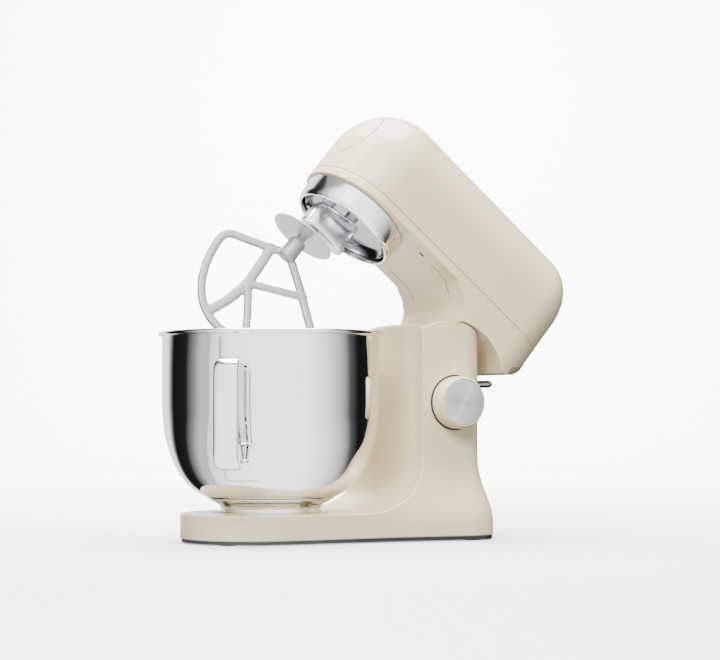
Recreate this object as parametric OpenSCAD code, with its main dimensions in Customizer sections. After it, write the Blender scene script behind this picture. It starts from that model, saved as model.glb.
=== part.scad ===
// Tilt-head stand mixer: stand with a bayonet bowl, tilting head with motor and gears,
// planetary hub and a K-shaped beater.
// Origin: where the bowl's axis meets the table. +Z is up, the bowl end points to -X.
// The head is drawn closed, in its own frame at the hinge, and raised by head_tilt.

/* [Stand] */
// Height of the base's flat top
base_top = 29.6; // [28:0.2:32]
// Wall thickness of the stand
stand_wall = 3.5; // [3:0.5:4]
// Width of the pillar
pillar_w = 130; // [126:1:134]
// Radius of the hollow in the pillar's front, about the bowl's axis
scoop_r = 153; // [151:1:155]
// Radius of the pillar's rounded top, about the hinge
pillar_top_r = 64; // [63:0.5:64]

/* [Head] */
// Angle by which the head is raised
head_tilt = 40; // [0:1:40]
// Half the head's width, and the radius of its rounded top
head_r = 66; // [65:0.5:67]
// Wall thickness of the head's shells
head_wall = 3; // [2.5:0.5:3]
// Length of the head's rounded nose, ahead of the hub's axis
nose_l = 61.5; // [61:0.5:64]
// Rounding of the head's rear end
tail_r = 40; // [34:1:42]

/* [Bowl] */
// Outer radius of the bowl's straight wall
bowl_r = 110; // [108:0.5:111]
// Thickness of the bowl's sheet steel
bowl_wall = 1.2; // [1:0.1:1.5]
// Direction of the handle, seen from above
handle_dir = 227.5; // [200:1:240]

/* [Gears] */
// Distance between the hub's axis and the tool's axis
orbit = 29.25; // [29.25:0.25:29.25]
// Share of the tooth pitch that is metal
tooth_fill = 0.84; // [0.8:0.02:0.86]

/* [Controls] */
// Radius of the speed knob's skirt
knob_r = 26.8; // [25:0.1:27]
// Height of the speed knob
knob_h = 18.9; // [16:0.1:20]

/* [Hidden] */
$fn = 64;
eps = 0.02;
hinge_x = 170.5;
hinge_z = 160.7;
pillar_y = pillar_w / 2;
pillar_back = 211;
hub_x = -hinge_x;                 // hub axis in the head's frame: over the bowl when closed
seam_z = 97;                      // joint between the head's two shells, head frame
belly_z = 87;                     // flat underside of the head
crown_z = 136;                    // centre of the head's round top
tail_x = 70;                      // rear end of the head
lay_z = 150;                      // layshaft and outlet axis
motor_z = 120;                    // motor axis
saddle_r = pillar_top_r + 0.6;    // hollow under the head, about the hinge
knob_x = 176.6;
knob_z = 140.3;
cap_r = 36;
cap_lift = 12;                    // upward slope of the nose cap
lever_x = 199;
lever_z = 158;
lever_tip = 254;
foot_r = 50.5;                    // bowl's foot
rim_z = 208.8;
round_z = 143;                    // where the bowl's wall starts to curve in
bowl_floor = 43;
handle_w = 25;
shield_z = 27.2;                  // flour shield, head frame

cream = [0.90, 0.87, 0.80];
steel = [0.80, 0.81, 0.82];
bright = [0.87, 0.88, 0.90];
dark = [0.12, 0.12, 0.13];
alloy = [0.70, 0.71, 0.72];
brassy = [0.78, 0.62, 0.30];
copper = [0.72, 0.42, 0.26];

// ---- frames ----

// Head frame: origin on the hinge, x along the closed head, z up when closed
module in_head() {
    translate([hinge_x, 0, hinge_z])
        rotate([0, head_tilt, 0])
            children();
}

// Hub frame: the head frame moved to the planetary axis
module on_hub() {
    in_head()
        translate([hub_x, 0, 0])
            children();
}

// Tool frame: the hub frame moved forward to the tool's axis
module on_tool() {
    on_hub()
        translate([-orbit, 0, 0])
            children();
}

// Lays what is drawn along Z on the X axis at height z, starting at x
module along_x(x, z) {
    translate([x, 0, z])
        rotate([0, 90, 0])
            children();
}

// Lays what is drawn along Z on the Y axis, starting at y
module along_y(x, y, z) {
    translate([x, y, z])
        rotate([-90, 0, 0])
            children();
}

// Tube of outer radius ro, inner radius ri and height h
module tube(ro, ri, h) {
    difference() {
        cylinder(r = ro, h = h);
        translate([0, 0, -1])
            cylinder(r = ri, h = h + 2);
    }
}

// Pan-head screw pointing up, its head below z = 0
module screw(r, h) {
    cylinder(r = r, h = h);
    translate([0, 0, -r])
        cylinder(r = 2 * r, h = r);
}

// ---- outlines ----

function arc(cx, cy, r, a0, a1, n) =
    [for (i = [0:n]) let (a = a0 + (a1 - a0) * i / n) [cx + r * cos(a), cy + r * sin(a)]];

// Full outline from its upper half, which starts on the axis of symmetry
function both_sides(half) =
    concat(half, [for (i = [len(half) - 1:-1:1]) [half[i].x, -half[i].y]]);

// Base seen from above, inset by w: round front, wider tail with round corners
function base_half(w) = concat(
    arc(-20, 0, 73 - w, 180, 90, 20),
    [[110, 73 - w], [150, 78 - w]],
    arc(200, 66, 19 - w, 82, 0, 8));

// Head seen from above, inset by w: elliptical nose about the hub, round tail corners
function head_half(w) = concat(
    [for (i = [0:20]) [hub_x - (nose_l - w) * cos(4.5 * i), (head_r - w) * sin(4.5 * i)]],
    arc(tail_x - tail_r, head_r - tail_r, tail_r - w, 90, 0, 10),
    [[tail_x - w, 0]]);

// Side view of the head's pedestal, inset by w: front wall, saddle arc, tail
function pedestal_side(w) = concat(
    [[-62 + 2 * w, belly_z + w], [-46 + w, 80], [-35 + w, 70]],
    arc(0, 0, saddle_r + w, 118 - w, 49, 16),
    [[48, 51 + w], [58 - w, 60 + w], [66 - w, 72], [tail_x - w, 84], [tail_x - w, seam_z],
     [-62 + 2 * w, seam_z]]);

// Bowl wall, inset by w: straight above round_z, rounded in to the floor below it
function bowl_curve(w) = [
    for (i = [0:24])
        let (a = 90 * i / 24, b = round_z - bowl_floor - w, n = 2 / 2.15)
            [50 + (bowl_r - 50 - w) * pow(sin(a), n), round_z - b * pow(cos(a), n)]];

// ---- gear teeth ----

// Toothed ring outline; root and tip are the radii of tooth foot and tooth end
function teeth_ring(n, pitch, root, tip, phase) = [
    for (i = [0:n - 1], k = [0:3])
        let (
            at_root = k == 0 || k == 3,
            side = k < 2 ? -1 : 1,
            slope = tan(20) * abs((at_root ? root : tip) - pitch) / pitch * 180 / PI,
            half = 90 / n * tooth_fill + (at_root ? slope : -slope),
            a = phase + 360 * i / n + side * half,
            r = at_root ? root : tip)
            [r * cos(a), r * sin(a)]];

module spur(n, m, h, bore, phase) {
    difference() {
        linear_extrude(h)
            polygon(teeth_ring(n, n * m / 2, (n / 2 - 1.3) * m, (n / 2 + 0.9) * m, phase));
        translate([0, 0, -1])
            cylinder(r = bore, h = h + 2);
    }
}

// Point of a bevel gear whose cone's apex is the origin and whose axis is -Z
function cone_point(dist, gamma, a) =
    dist * [sin(gamma) * cos(a), sin(gamma) * sin(a), -cos(gamma)];

// Tooth outline of a bevel gear on the sphere of radius dist
function bevel_ring(n, m, delta, dist, phase) = [
    for (i = [0:n - 1], k = [0:3])
        let (
            at_root = k == 0 || k == 3,
            side = k < 2 ? -1 : 1,
            lift = at_root ? -1.3 : 0.85,
            slope = tan(20) * abs(lift) * m / (n * m / 2) * 180 / PI,
            half = 90 / n * tooth_fill + (at_root ? slope : -slope),
            cone = n * m / 2 / sin(delta))
            cone_point(dist, delta + lift * m / cone * 180 / PI,
                phase + 360 * i / n + side * half)];

// Straight bevel gear: teeth between cone distances far and near, plain conical back
module bevel(n, m, delta, width, back, bore, phase) {
    far = n * m / 2 / sin(delta);
    near = far - width;
    q = 4 * n;
    pts = concat(
        bevel_ring(n, m, delta, far, phase),
        bevel_ring(n, m, delta, near, phase),
        [[0, 0, -far * cos(delta) - back], [0, 0, -near * cos(delta) - 1.5 * m]]);
    faces = concat(
        [for (i = [0:q - 1]) [q + i, q + (i + 1) % q, (i + 1) % q, i]],
        [for (i = [0:q - 1]) [i, (i + 1) % q, 2 * q]],
        [for (i = [0:q - 1]) [q + (i + 1) % q, q + i, 2 * q + 1]]);
    difference() {
        polyhedron(pts, faces);
        translate([0, 0, -far - back])
            cylinder(r = bore, h = far + back);
    }
}

// ---- stand ----

// Region in front of the pillar and over the base that the bowl needs, grown by w
module scoop(w) {
    fillet = scoop_r - 101.5;
    rotate_extrude($fn = 128)
        polygon(concat(
            [[0, 300], [0, base_top - w]],
            arc(101.5, base_top + fillet, fillet + w, -90, 0, 14),
            [[scoop_r + w, 300]]));
}

// Outside of the stand, inset by w, from height z0
module stand_form(w, z0) {
    difference() {
        union() {
            translate([0, 0, z0])
                linear_extrude(base_top - w - z0)
                    polygon(both_sides(base_half(w)));
            // flare between the base and the pillar
            hull() {
                intersection() {
                    translate([0, 0, base_top - w - 1])
                        linear_extrude(1)
                            polygon(both_sides(base_half(w)));
                    translate([84 + w, -100, 0])
                        cube([200, 200, 60]);
                }
                translate([120 + w, w - pillar_y, 80])
                    cube([pillar_back - 120 - 2 * w, pillar_w - 2 * w, 1]);
            }
            translate([120 + w, w - pillar_y, 79])
                cube([pillar_back - 120 - 2 * w, pillar_w - 2 * w, hinge_z - 79]);
            intersection() {
                along_y(hinge_x, w - pillar_y, hinge_z)
                    cylinder(r = pillar_top_r - w, h = pillar_w - 2 * w, $fn = 128);
                translate([120, w - pillar_y, hinge_z - 1])
                    cube([pillar_back - 120 - w, pillar_w - 2 * w, pillar_top_r + 1]);
            }
        }
        scoop(w);
    }
}

// Slot in the pillar's top for the head's arm
module arm_slot() {
    along_y(hinge_x, -22.5, hinge_z)
        linear_extrude(45)
            polygon(concat([[0, 0]], arc(0, 0, 75, -43, -101, 12)));
}

module stand_casing() {
    color(cream)
        difference() {
            stand_form(0, 4.5);
            stand_form(stand_wall, 3);
            arm_slot();
            cylinder(r = 58.2, h = 40);
            along_y(knob_x, -pillar_y - 1, knob_z)
                cylinder(r = 5.3, h = 8);
            // slot for the lever, and the cord's hole, in the rear wall
            translate([pillar_back - 8, -19, lever_z - 6])
                cube([12, 38, 20]);
            along_x(pillar_back - 10, 55)
                cylinder(r = 6.6, h = 30);
        }
}

module base_plate() {
    color(dark)
        difference() {
            translate([0, 0, 1.2])
                linear_extrude(3.3)
                    polygon(both_sides(base_half(1.6)));
            for (p = foot_spots)
                translate([p.x, p.y, 0])
                    cylinder(r = p.z + 0.1, h = 3.2);
            for (p = screw_spots)
                translate([p.x, p.y, 0])
                    cylinder(r = 2.1, h = 9);
            for (y = [-40:16:40])
                translate([108, y - 2, 0])
                    cube([60, 4, 9]);
        }
}

// x, y and radius of each foot
foot_spots = [[0, 0, 14], [-62, -34, 9], [-62, 34, 9], [196, -66, 9], [196, 66, 9]];
screw_spots = [[-40, -50], [-40, 50], [92, -58], [92, 58], [204, -40], [204, 40]];

module rubber_feet() {
    color(dark)
        for (p = foot_spots)
            translate([p.x, p.y, 0])
                cylinder(r = p.z, h = 3.2);
}

// Long screws that hold the base plate
module base_screws() {
    color(steel)
        for (p = screw_spots)
            translate([p.x, p.y, 1.4])
                cylinder(r = 2, h = 18);
}

// Bayonet socket for the bowl: floor, wall and a lip with three gaps
module bowl_seat() {
    color(cream)
        difference() {
            rotate_extrude($fn = 128)
                polygon([
                    [0, 18.5], [58, 18.5], [58, base_top + 0.6], [51.4, base_top + 0.6],
                    [51.4, 26.6], [55, 26.6], [55, 21.5], [0, 21.5]]);
            for (a = bayonet_dirs)
                rotate([0, 0, a + 34])
                    translate([46, -9, 22])
                        cube([8.9, 18, 20]);
            cylinder(r = 20, h = 60, center = true);
        }
}

bayonet_dirs = [20, 140, 260];

// U-shaped steel bracket that carries the hinge inside the pillar
module hinge_bracket() {
    color(steel)
        difference() {
            union() {
                translate([158, -33, 112])
                    cube([34, 66, 5]);
                for (s = [-1, 1]) {
                    translate([158, s * 30 - 3, 112])
                        cube([34, 6, hinge_z - 112]);
                    along_y(hinge_x, s * 30 - 3, hinge_z)
                        cylinder(r = 12.5, h = 6);
                }
            }
            along_y(hinge_x, -40, hinge_z)
                cylinder(r = 8, h = 80);
        }
}

module hinge_bushes() {
    color(brassy)
        for (s = [-1, 1])
            along_y(hinge_x, s * 30 - 3, hinge_z)
                tube(8, 6, 6);
}

module hinge_shaft() {
    color(steel)
        along_y(hinge_x, -38, hinge_z)
            cylinder(r = 6, h = 76);
}

module shaft_clips() {
    color(dark)
        for (s = [-1, 1])
            along_y(hinge_x, s * 34.2 - 0.6, hinge_z)
                tube(8.5, 6, 1.2);
}

module control_board() {
    color([0.10, 0.35, 0.20])
        translate([162, -52, 60])
            cube([34, 1.6, 66]);
}

module board_heatsink() {
    color(alloy)
        union() {
            translate([165, -50.4, 66])
                cube([27, 2, 30]);
            for (i = [0:5])
                translate([165 + 5 * i, -50.4, 66])
                    cube([2, 14, 30]);
        }
}

module speed_potentiometer() {
    color(dark)
        difference() {
            along_y(knob_x, -61.4, knob_z)
                cylinder(r = 12, h = 16);
            along_y(knob_x, -62, knob_z)
                cylinder(r = 3.05, h = 12);
        }
}

module interlock_switch() {
    color(dark)
        translate([176, 36, 178])
            cube([22, 10, 14]);
}

module cord_gland() {
    color(dark)
        along_x(201.5, 55) {
            tube(6.5, 3.6, 22);
            tube(9, 3.6, 5);
        }
}

// ---- release lever ----

// Pin of the release lever, in two hanging plates
module lever_pin() {
    color(steel) {
        along_y(lever_x, -24, lever_z)
            cylinder(r = 2, h = 48);
        for (s = [-1, 1])
            difference() {
                translate([lever_x - 5, s * 22.5 - 1.5, lever_z - 30])
                    cube([10, 3, 35]);
                along_y(lever_x, s * 22.5 - 2, lever_z)
                    cylinder(r = 2, h = 4);
            }
    }
}

// Torsion spring beside the lever's hub, drawn as touching turns
module lever_spring() {
    color(steel)
        for (i = [0:4])
            along_y(lever_x, 15.2 + 1.25 * i, lever_z)
                rotate_extrude()
                    translate([3.6, 0])
                        circle(r = 0.6, $fn = 24);
}

module release_lever() {
    color(bright)
        difference() {
            union() {
                along_y(lever_x, -14, lever_z)
                    cylinder(r = 5, h = 28);
                hull() {
                    translate([lever_x + 2, -14, lever_z - 1])
                        cube([1, 28, 5]);
                    translate([lever_tip - 2, -14, lever_z - 2])
                        cube([2, 28, 8.5]);
                }
                // nose of the catch, just clear of the arm's notched hub
                hull() {
                    translate([lever_x - 4, -9, lever_z - 2])
                        cube([2, 18, 4]);
                    translate([hinge_x + 14.3, -9, lever_z - 1.5])
                        cube([1, 18, 3]);
                }
            }
            along_y(lever_x, -15, lever_z)
                cylinder(r = 2.05, h = 30);
        }
}

// ---- speed control ----

module knob_body() {
    color(cream)
        difference() {
            along_y(knob_x, -pillar_y - 0.4 - knob_h, knob_z)
                union() {
                    translate([0, 0, 4])
                        cylinder(r = knob_r, h = knob_h - 4);
                    cylinder(r1 = knob_r - 2.6, r2 = knob_r, h = 4);
                }
            along_y(knob_x, -pillar_y - 5, knob_z)
                cylinder(r = knob_r - 2.5, h = 10);
            along_y(knob_x, -pillar_y - 12, knob_z)
                cylinder(r = 3, h = 20);
            along_y(knob_x, -pillar_y - 1 - knob_h, knob_z)
                cylinder(r = knob_r - 3.4, h = 1.6);
        }
}

module knob_face() {
    color(steel)
        along_y(knob_x, -pillar_y - 0.4 - knob_h, knob_z)
            cylinder(r = knob_r - 3.7, h = 1);
}

module knob_spindle() {
    color(steel)
        along_y(knob_x, -pillar_y - 12, knob_z)
            cylinder(r = 3, h = 26);
}

// Tapered mark above the knob
module knob_index() {
    color("white")
        translate([knob_x, -pillar_y, 171.8])
            rotate([90, 0, 0])
                linear_extrude(0.3)
                    polygon([[-1.2, 0], [1.2, 0], [0.5, 9.4], [-0.5, 9.4]]);
}

// ---- head shells ----

// Solid head above height z, inset by w
module head_form(w, z) {
    translate([0, 0, z])
        linear_extrude(crown_z - z)
            polygon(both_sides(head_half(w)));
    intersection() {
        translate([0, 0, crown_z])
            rotate([0, 90, 0])
                rotate([0, 0, 90])
                    rotate_extrude($fn = 96)
                        polygon([for (p = head_half(w)) [p.y, p.x]]);
        translate([-300, -100, crown_z - eps])
            cube([500, 200, 100]);
    }
}

// Axis of the nose cap through the centre of the round nose
module on_cap() {
    in_head()
        translate([hub_x, 0, crown_z])
            rotate([0, cap_lift - 90, 0])
                children();
}

module head_cover() {
    color(cream)
        difference() {
            in_head()
                head_form(0, seam_z);
            in_head()
                head_form(head_wall, seam_z - 1);
            on_cap()
                translate([0, 0, 40])
                    cylinder(r = cap_r + 0.35, h = 40);
        }
}

// Pedestal block between the side walls, inset by w
module pedestal(w) {
    intersection() {
        translate([0, head_r - w, 0])
            rotate([90, 0, 0])
                linear_extrude(2 * (head_r - w))
                    polygon(pedestal_side(w));
        translate([0, 0, 20])
            linear_extrude(90)
                polygon(both_sides(head_half(w)));
    }
}

module casing_form(w) {
    translate([0, 0, belly_z + w])
        linear_extrude(seam_z - belly_z - w + (w > 0 ? 1 : 0))
            polygon(both_sides(head_half(w)));
    pedestal(w);
}

module head_casing() {
    color(cream)
        in_head()
            difference() {
                casing_form(0);
                casing_form(head_wall);
                translate([hub_x, 0, belly_z - 5])
                    cylinder(r = 56.4, h = 20);
                // opening for the arm
                translate([-14, -20.6, 50])
                    cube([20, 41.2, 30]);
                // vents in the tail
                for (i = [0:4])
                    translate([50, -25 + 11 * i, 46])
                        cube([16, 6, 20]);
            }
}

module casing_screws() {
    color(steel)
        in_head()
            for (p = [[-60, -54], [-60, 54], [58, -30], [58, 30]])
                translate([p.x, p.y, seam_z - 5])
                    screw(1.8, 14);
}

// Arm that carries the head: hinge barrel, web through the slot, foot in the pedestal
module hinge_arm() {
    color(alloy)
        in_head()
            difference() {
                union() {
                    along_y(0, -20, 0)
                        cylinder(r = 14, h = 40);
                    intersection() {
                        translate([0, 20, 0])
                            rotate([90, 0, 0])
                                linear_extrude(40)
                                    polygon([[-9, 5], [9, 5], [1.5, 76], [-11, 76]]);
                        translate([-60, -60, 0])
                            cube([120, 120, 76]);
                    }
                    translate([-26, -38, 71])
                        cube([60, 76, 5]);
                }
                along_y(0, -30, 0)
                    cylinder(r = 6.05, h = 60);
                for (p = arm_spots)
                    translate([p.x, p.y, 70])
                        cylinder(r = 2, h = 7);
            }
}

arm_spots = [[-18, -30], [-18, 30], [26, -30], [26, 30]];

module arm_screws() {
    color(steel)
        in_head()
            for (p = arm_spots)
                translate([p.x, p.y, 76])
                    mirror([0, 0, 1])
                        screw(2, 5);
}

module vent_grille() {
    color(dark)
        in_head()
            difference() {
                translate([tail_x - 8, -24, 104])
                    cube([3, 48, 40]);
                for (i = [0:6])
                    translate([tail_x - 9, -20, 107 + 5 * i])
                        cube([5, 40, 2.4]);
            }
}

// ---- gearbox ----

can_r = 50;
can_z0 = 99;
can_z1 = 166;

module gearbox_housing() {
    color(alloy)
        on_hub()
            difference() {
                translate([0, 0, can_z0])
                    cylinder(r = can_r, h = can_z1 - can_z0);
                translate([0, 0, can_z0 + 4])
                    cylinder(r = can_r - 3.5, h = 90);
                translate([0, 0, 90])
                    cylinder(r = 13, h = 20);
                // orbiting planet's top and both horizontal shafts
                along_x(40, lay_z)
                    cylinder(r = 11, h = 30);
                along_x(-70, lay_z)
                    cylinder(r = 11, h = 30);
            }
}

module gearbox_lid() {
    color(alloy)
        on_hub()
            difference() {
                union() {
                    translate([0, 0, can_z1])
                        cylinder(r = 48, h = 3);
                    translate([0, 0, can_z1])
                        cylinder(r = 17, h = 10);
                }
                translate([0, 0, can_z1 - 1])
                    cylinder(r = 13, h = 20);
                for (a = [0:60:300])
                    rotate([0, 0, a])
                        translate([44, 0, can_z1 - 1])
                            cylinder(r = 1.6, h = 6);
            }
}

module lid_screws() {
    color(steel)
        on_hub()
            for (a = [0:60:300])
                rotate([0, 0, a])
                    translate([44, 0, can_z1]) {
                        translate([0, 0, 3])
                            cylinder(r = 2.8, h = 1.6);
                        cylinder(r = 1.5, h = 3);
                    }
}

// Chrome ring round the hub: it tapers from the casing down to the open edge
module hub_ring() {
    color(bright)
        on_hub()
            rotate_extrude($fn = 128)
                polygon([
                    [52.1, 63.2], [54.6, 63.6], [56.6, 67], [59.2, 86.8], [55.8, 86.8],
                    [55.8, 98.5], [52.5, 98.5], [52.5, 70]]);
}

module ring_gear() {
    color(steel)
        on_hub()
            translate([0, 0, 88])
                difference() {
                    cylinder(r = 45, h = 10.5);
                    translate([0, 0, -1])
                        linear_extrude(13)
                            polygon(teeth_ring(52, 39, 41, 37.65, 180 / 52));
                }
}

module bearing(ro, ri, h) {
    tube(ro, ro - 2, h);
    tube(ri + 2, ri, h);
    translate([0, 0, h * 0.2])
        tube(ro - 2, ri + 2, h * 0.6);
}

module carrier_bearings() {
    color(steel)
        on_hub() {
            translate([0, 0, can_z0])
                tube(13, 7.05, 4);
            translate([0, 0, can_z1])
                tube(13, 7.05, 9);
        }
}

module shaft_bearings() {
    color(steel)
        in_head() {
            for (x = [46, -51])
                along_x(hub_x + x, lay_z)
                    tube(11, 5.05, 5);
            along_x(-90, lay_z)
                tube(9, 5.05, 6);
            along_x(-90, motor_z)
                tube(9, 4.05, 6);
            along_x(24, motor_z)
                tube(9, 4.05, 6);
        }
}

// ---- motor ----

module motor_stator() {
    color([0.45, 0.46, 0.48])
        in_head()
            along_x(-50, motor_z)
                difference() {
                    tube(32, 22, 46);
                    for (s = [-1, 1])
                        translate([-14.2, s * 25.4 - 1.3, -1])
                            cube([28.4, 2.6, 48]);
                }
}

module stator_coils() {
    color(copper)
        in_head()
            for (s = [-1, 1])
                translate([-56, s * 25.4 - 1.2, motor_z - 14])
                    difference() {
                        cube([58, 2.4, 28]);
                        translate([5.8, -1, 4])
                            cube([46.4, 5, 20]);
                    }
}

// Front bracket with both shaft bearings, and the rear bracket behind the commutator
module motor_brackets() {
    color(alloy)
        in_head() {
            difference() {
                translate([-90, -30, 93])
                    cube([6, 60, 70]);
                for (z = [lay_z, motor_z])
                    along_x(-91, z)
                        cylinder(r = 9, h = 8);
            }
            difference() {
                translate([24, -34, 82])
                    cube([6, 68, 70]);
                along_x(23, motor_z)
                    cylinder(r = 9, h = 8);
            }
            // tie rods between the brackets
            for (s = [-1, 1])
                along_x(-84, motor_z + 30)
                    translate([0, s * 26, 0])
                        cylinder(r = 2.5, h = 108);
        }
}

module carbon_brushes() {
    color(dark)
        in_head()
            for (s = [-1, 1])
                translate([8, s * 23.3 - 9, motor_z - 3])
                    cube([7, 18, 6]);
}

module motor_shaft() {
    color(steel)
        in_head()
            along_x(-112, motor_z)
                cylinder(r = 4, h = 166);
}

module motor_pinion() {
    color(brassy)
        in_head()
            along_x(-109, motor_z)
                mirror([1, 0, 0])
                    spur(12, 1, 12, 4, 0);
}

module armature() {
    color([0.40, 0.41, 0.43])
        in_head()
            along_x(-48, motor_z)
                difference() {
                    tube(21.2, 4, 42);
                    for (i = [0:11])
                        rotate([0, 0, 30 * i])
                            translate([17, -1.2, -1])
                                cube([6, 2.4, 44]);
                }
}

module commutator() {
    color(copper)
        in_head()
            along_x(4, motor_z)
                tube(14, 4, 15);
}

module cooling_fan() {
    color([0.20, 0.21, 0.23])
        in_head()
            along_x(36, motor_z) {
                tube(12, 4, 12);
                tube(30, 11, 2);
                for (i = [0:10])
                    rotate([0, 0, 360 / 11 * i])
                        translate([11, -0.8, 0])
                            cube([19, 1.6, 12]);
            }
}

// ---- drive train ----

module layshaft() {
    color(steel)
        in_head()
            along_x(-134, lay_z)
                cylinder(r = 5, h = 52);
}

module layshaft_gear() {
    color([0.85, 0.84, 0.78])
        in_head()
            along_x(-107, lay_z)
                mirror([1, 0, 0])
                    spur(48, 1.25 * 0.8, 9, 5, 180 / 48);
}

module layshaft_bevel() {
    color(steel)
        on_hub()
            translate([0, 0, lay_z])
                rotate([0, -90, 0])
                    bevel(14, 2, atan(14 / 42), 11, 4, 5, 180 / 14);
}

// Front power outlet: bevel pinion, shaft and square-socket head
module outlet_drive() {
    color(steel)
        on_hub() {
            translate([0, 0, lay_z])
                rotate([0, 90, 0])
                    bevel(14, 2, atan(14 / 42), 11, 4, 5, 180 / 14);
            // the pinion sits on the shaft as a piece of its own
            difference() {
                union() {
                    along_x(-54.6, lay_z)
                        cylinder(r = 6.8, h = 3.3);
                    along_x(-53, lay_z)
                        cylinder(r = 4.97, h = 20);
                }
                translate([-55, -3, lay_z - 3])
                    cube([6, 6, 6]);
            }
        }
}

module carrier_shaft() {
    color(steel)
        on_hub()
            translate([0, 0, 75])
                cylinder(r = 7, h = 100);
}

module bevel_wheel() {
    color(steel)
        on_hub()
            translate([0, 0, lay_z])
                bevel(42, 2, atan(42 / 14), 11, 9, 7, 0);
}

// Polished dish that fills the hub's mouth
module carrier_dish() {
    color([0.45, 0.46, 0.48])
        on_hub()
            difference() {
                rotate_extrude($fn = 128)
                    polygon([
                        [0, 84.5], [51.4, 84.5], [51.4, 71], [50.2, 68], [48.6, 71],
                        [44, 75.5], [34, 79], [20, 81], [0, 81.4]]);
                translate([0, 0, 70])
                    cylinder(r = 7, h = 20);
                translate([-orbit, 0, 60])
                    cylinder(r = 7.05, h = 30);
            }
}

// Bright arm under the dish; its front end is the tool's socket
module planet_arm() {
    color(bright)
        on_hub()
            difference() {
                hull() {
                    translate([-orbit, 0, 40])
                        cylinder(r1 = 13, r2 = 11.5, h = 25, $fn = 32);
                    translate([4, 0, 40])
                        cylinder(r1 = 11, r2 = 9, h = 35, $fn = 32);
                }
                translate([-orbit, 0, 30])
                    cylinder(r = 7.05, h = 60);
            }
}

module tool_shaft() {
    color(steel)
        on_tool()
            difference() {
                translate([0, 0, 39])
                    cylinder(r = 7, h = 58.5);
                translate([0, 0, 38])
                    cylinder(r = 5.05, h = 30);
            }
}

module planet_pinion() {
    color(steel)
        on_tool()
            translate([0, 0, 88])
                spur(13, 1.5, 9, 7, 180);
}

module flour_shield() {
    color(alloy)
        on_tool()
            translate([0, 0, shield_z - 0.8])
                tube(35, 5, 1.6);
}

// ---- beater ----

// Direction of a path at point i
function heading(path, i) =
    let (d = path[min(i + 1, len(path) - 1)] - path[max(i - 1, 0)]) d / norm(d);

// One edge of a ribbon of width w along a path, side is 1 or -1
function ribbon_edge(path, w, side) =
    [for (i = [0:len(path) - 1])
        let (t = heading(path, i)) path[i] + side * w / 2 * [-t.y, t.x]];

module ribbon(path, w) {
    other = ribbon_edge(path, w, -1);
    polygon(concat(ribbon_edge(path, w, 1), [for (i = [len(path) - 1:-1:0]) other[i]]));
}

// Curved side of the beater from corner c to the tip, x = radius, y = depth
function side_curve(c, tip, n) = [
    for (i = [0:n])
        let (a = 90 * i / n)
            [c.x * pow(cos(a), 0.8), c.y + (tip - c.y) * pow(sin(a), 0.95)]];

beater_tip = 136;
beater_left = [65, 46];
beater_right = [-65, 72];

// Beater drawn flat: x forward of the tool's axis, y down from the flour shield
module beater_plan() {
    tip = beater_tip - 4.5;
    left = side_curve(beater_left, tip, 14);
    right = side_curve(beater_right, tip, 14);
    ribbon(concat(left, [for (i = [13:-1:0]) right[i]]), 9);
    ribbon([beater_left + [3, -1], [18, 31], [-2, 25]], 10);
    ribbon([[2, 21], [-31, 47], beater_right + [-2, 4]], 10);
    ribbon([[19, 30], [15, 60], [14, 84]], 9);
    ribbon([[14, 76], [19, 103], [28, 123]], 9);
    ribbon([[16, 77], [-39, 52]], 8);
    ribbon([[13, 79], [-5, 102], [-18, 124]], 8);
}

module beater() {
    color(alloy)
        on_tool()
            rotate([0, 0, -20])
                union() {
                    translate([0, 3.2, shield_z])
                        rotate([90, 0, 0])
                            mirror([1, 0, 0])
                                mirror([0, 1, 0])
                                    linear_extrude(6.4)
                                        beater_plan();
                    translate([0, 0, shield_z - 31])
                        cylinder(r = 9.5, h = 26);
                    translate([0, 0, shield_z - 6])
                        cylinder(r = 5, h = 44);
                }
}

// ---- nose cap ----

module outlet_cap() {
    color(cream)
        intersection() {
            on_cap()
                translate([0, 0, 40])
                    cylinder(r = cap_r, h = 40);
            in_head()
                difference() {
                    head_form(0, seam_z + 2);
                    head_form(head_wall, seam_z);
                }
        }
}

module outlet_collar() {
    color(dark)
        on_hub()
            along_x(-53.1, lay_z)
                tube(12, 7.6, 1.9);
}

// ---- bowl ----

module bowl_shell() {
    color(steel) {
        rotate_extrude($fn = 180)
            polygon(concat(
                [[0, bowl_floor]], bowl_curve(0), [[bowl_r, rim_z]],
                [[bowl_r - bowl_wall, rim_z]],
                [for (i = [24:-1:0]) bowl_curve(bowl_wall)[i]],
                [[0, bowl_floor + bowl_wall]]));
        rotate_extrude($fn = 180)
            translate([bowl_r + 1.4, rim_z])
                circle(r = 2.3, $fn = 32);
    }
}

// Foot ring flared out under the bowl, with three bayonet lugs
module bowl_foot() {
    color(steel) {
        rotate_extrude($fn = 128)
            polygon([
                [foot_r - 3, 22], [foot_r, 22], [foot_r, 35], [foot_r + 1.5, 37.4],
                [foot_r + 7.5, 40.6], [foot_r + 14, 44.2], [foot_r + 14, 44.8],
                [foot_r + 6.5, 43.2], [foot_r - 0.5, 42.9], [foot_r - 3, 42.9]]);
        for (a = bayonet_dirs)
            rotate([0, 0, a])
                translate([foot_r - 1, -7, 22.6])
                    cube([4.9, 14, 3.4]);
    }
}

// Rounded rectangle from corner a to corner b
module soft_box(a, b, r) {
    for (x = [a.x + r, b.x - r], y = [a.y + r, b.y - r])
        translate([x, y])
            circle(r = r, $fn = 48);
    translate([a.x + r, a.y])
        square([b.x - a.x - 2 * r, b.y - a.y]);
    translate([a.x, a.y + r])
        square([b.x - a.x, b.y - a.y - 2 * r]);
}

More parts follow.
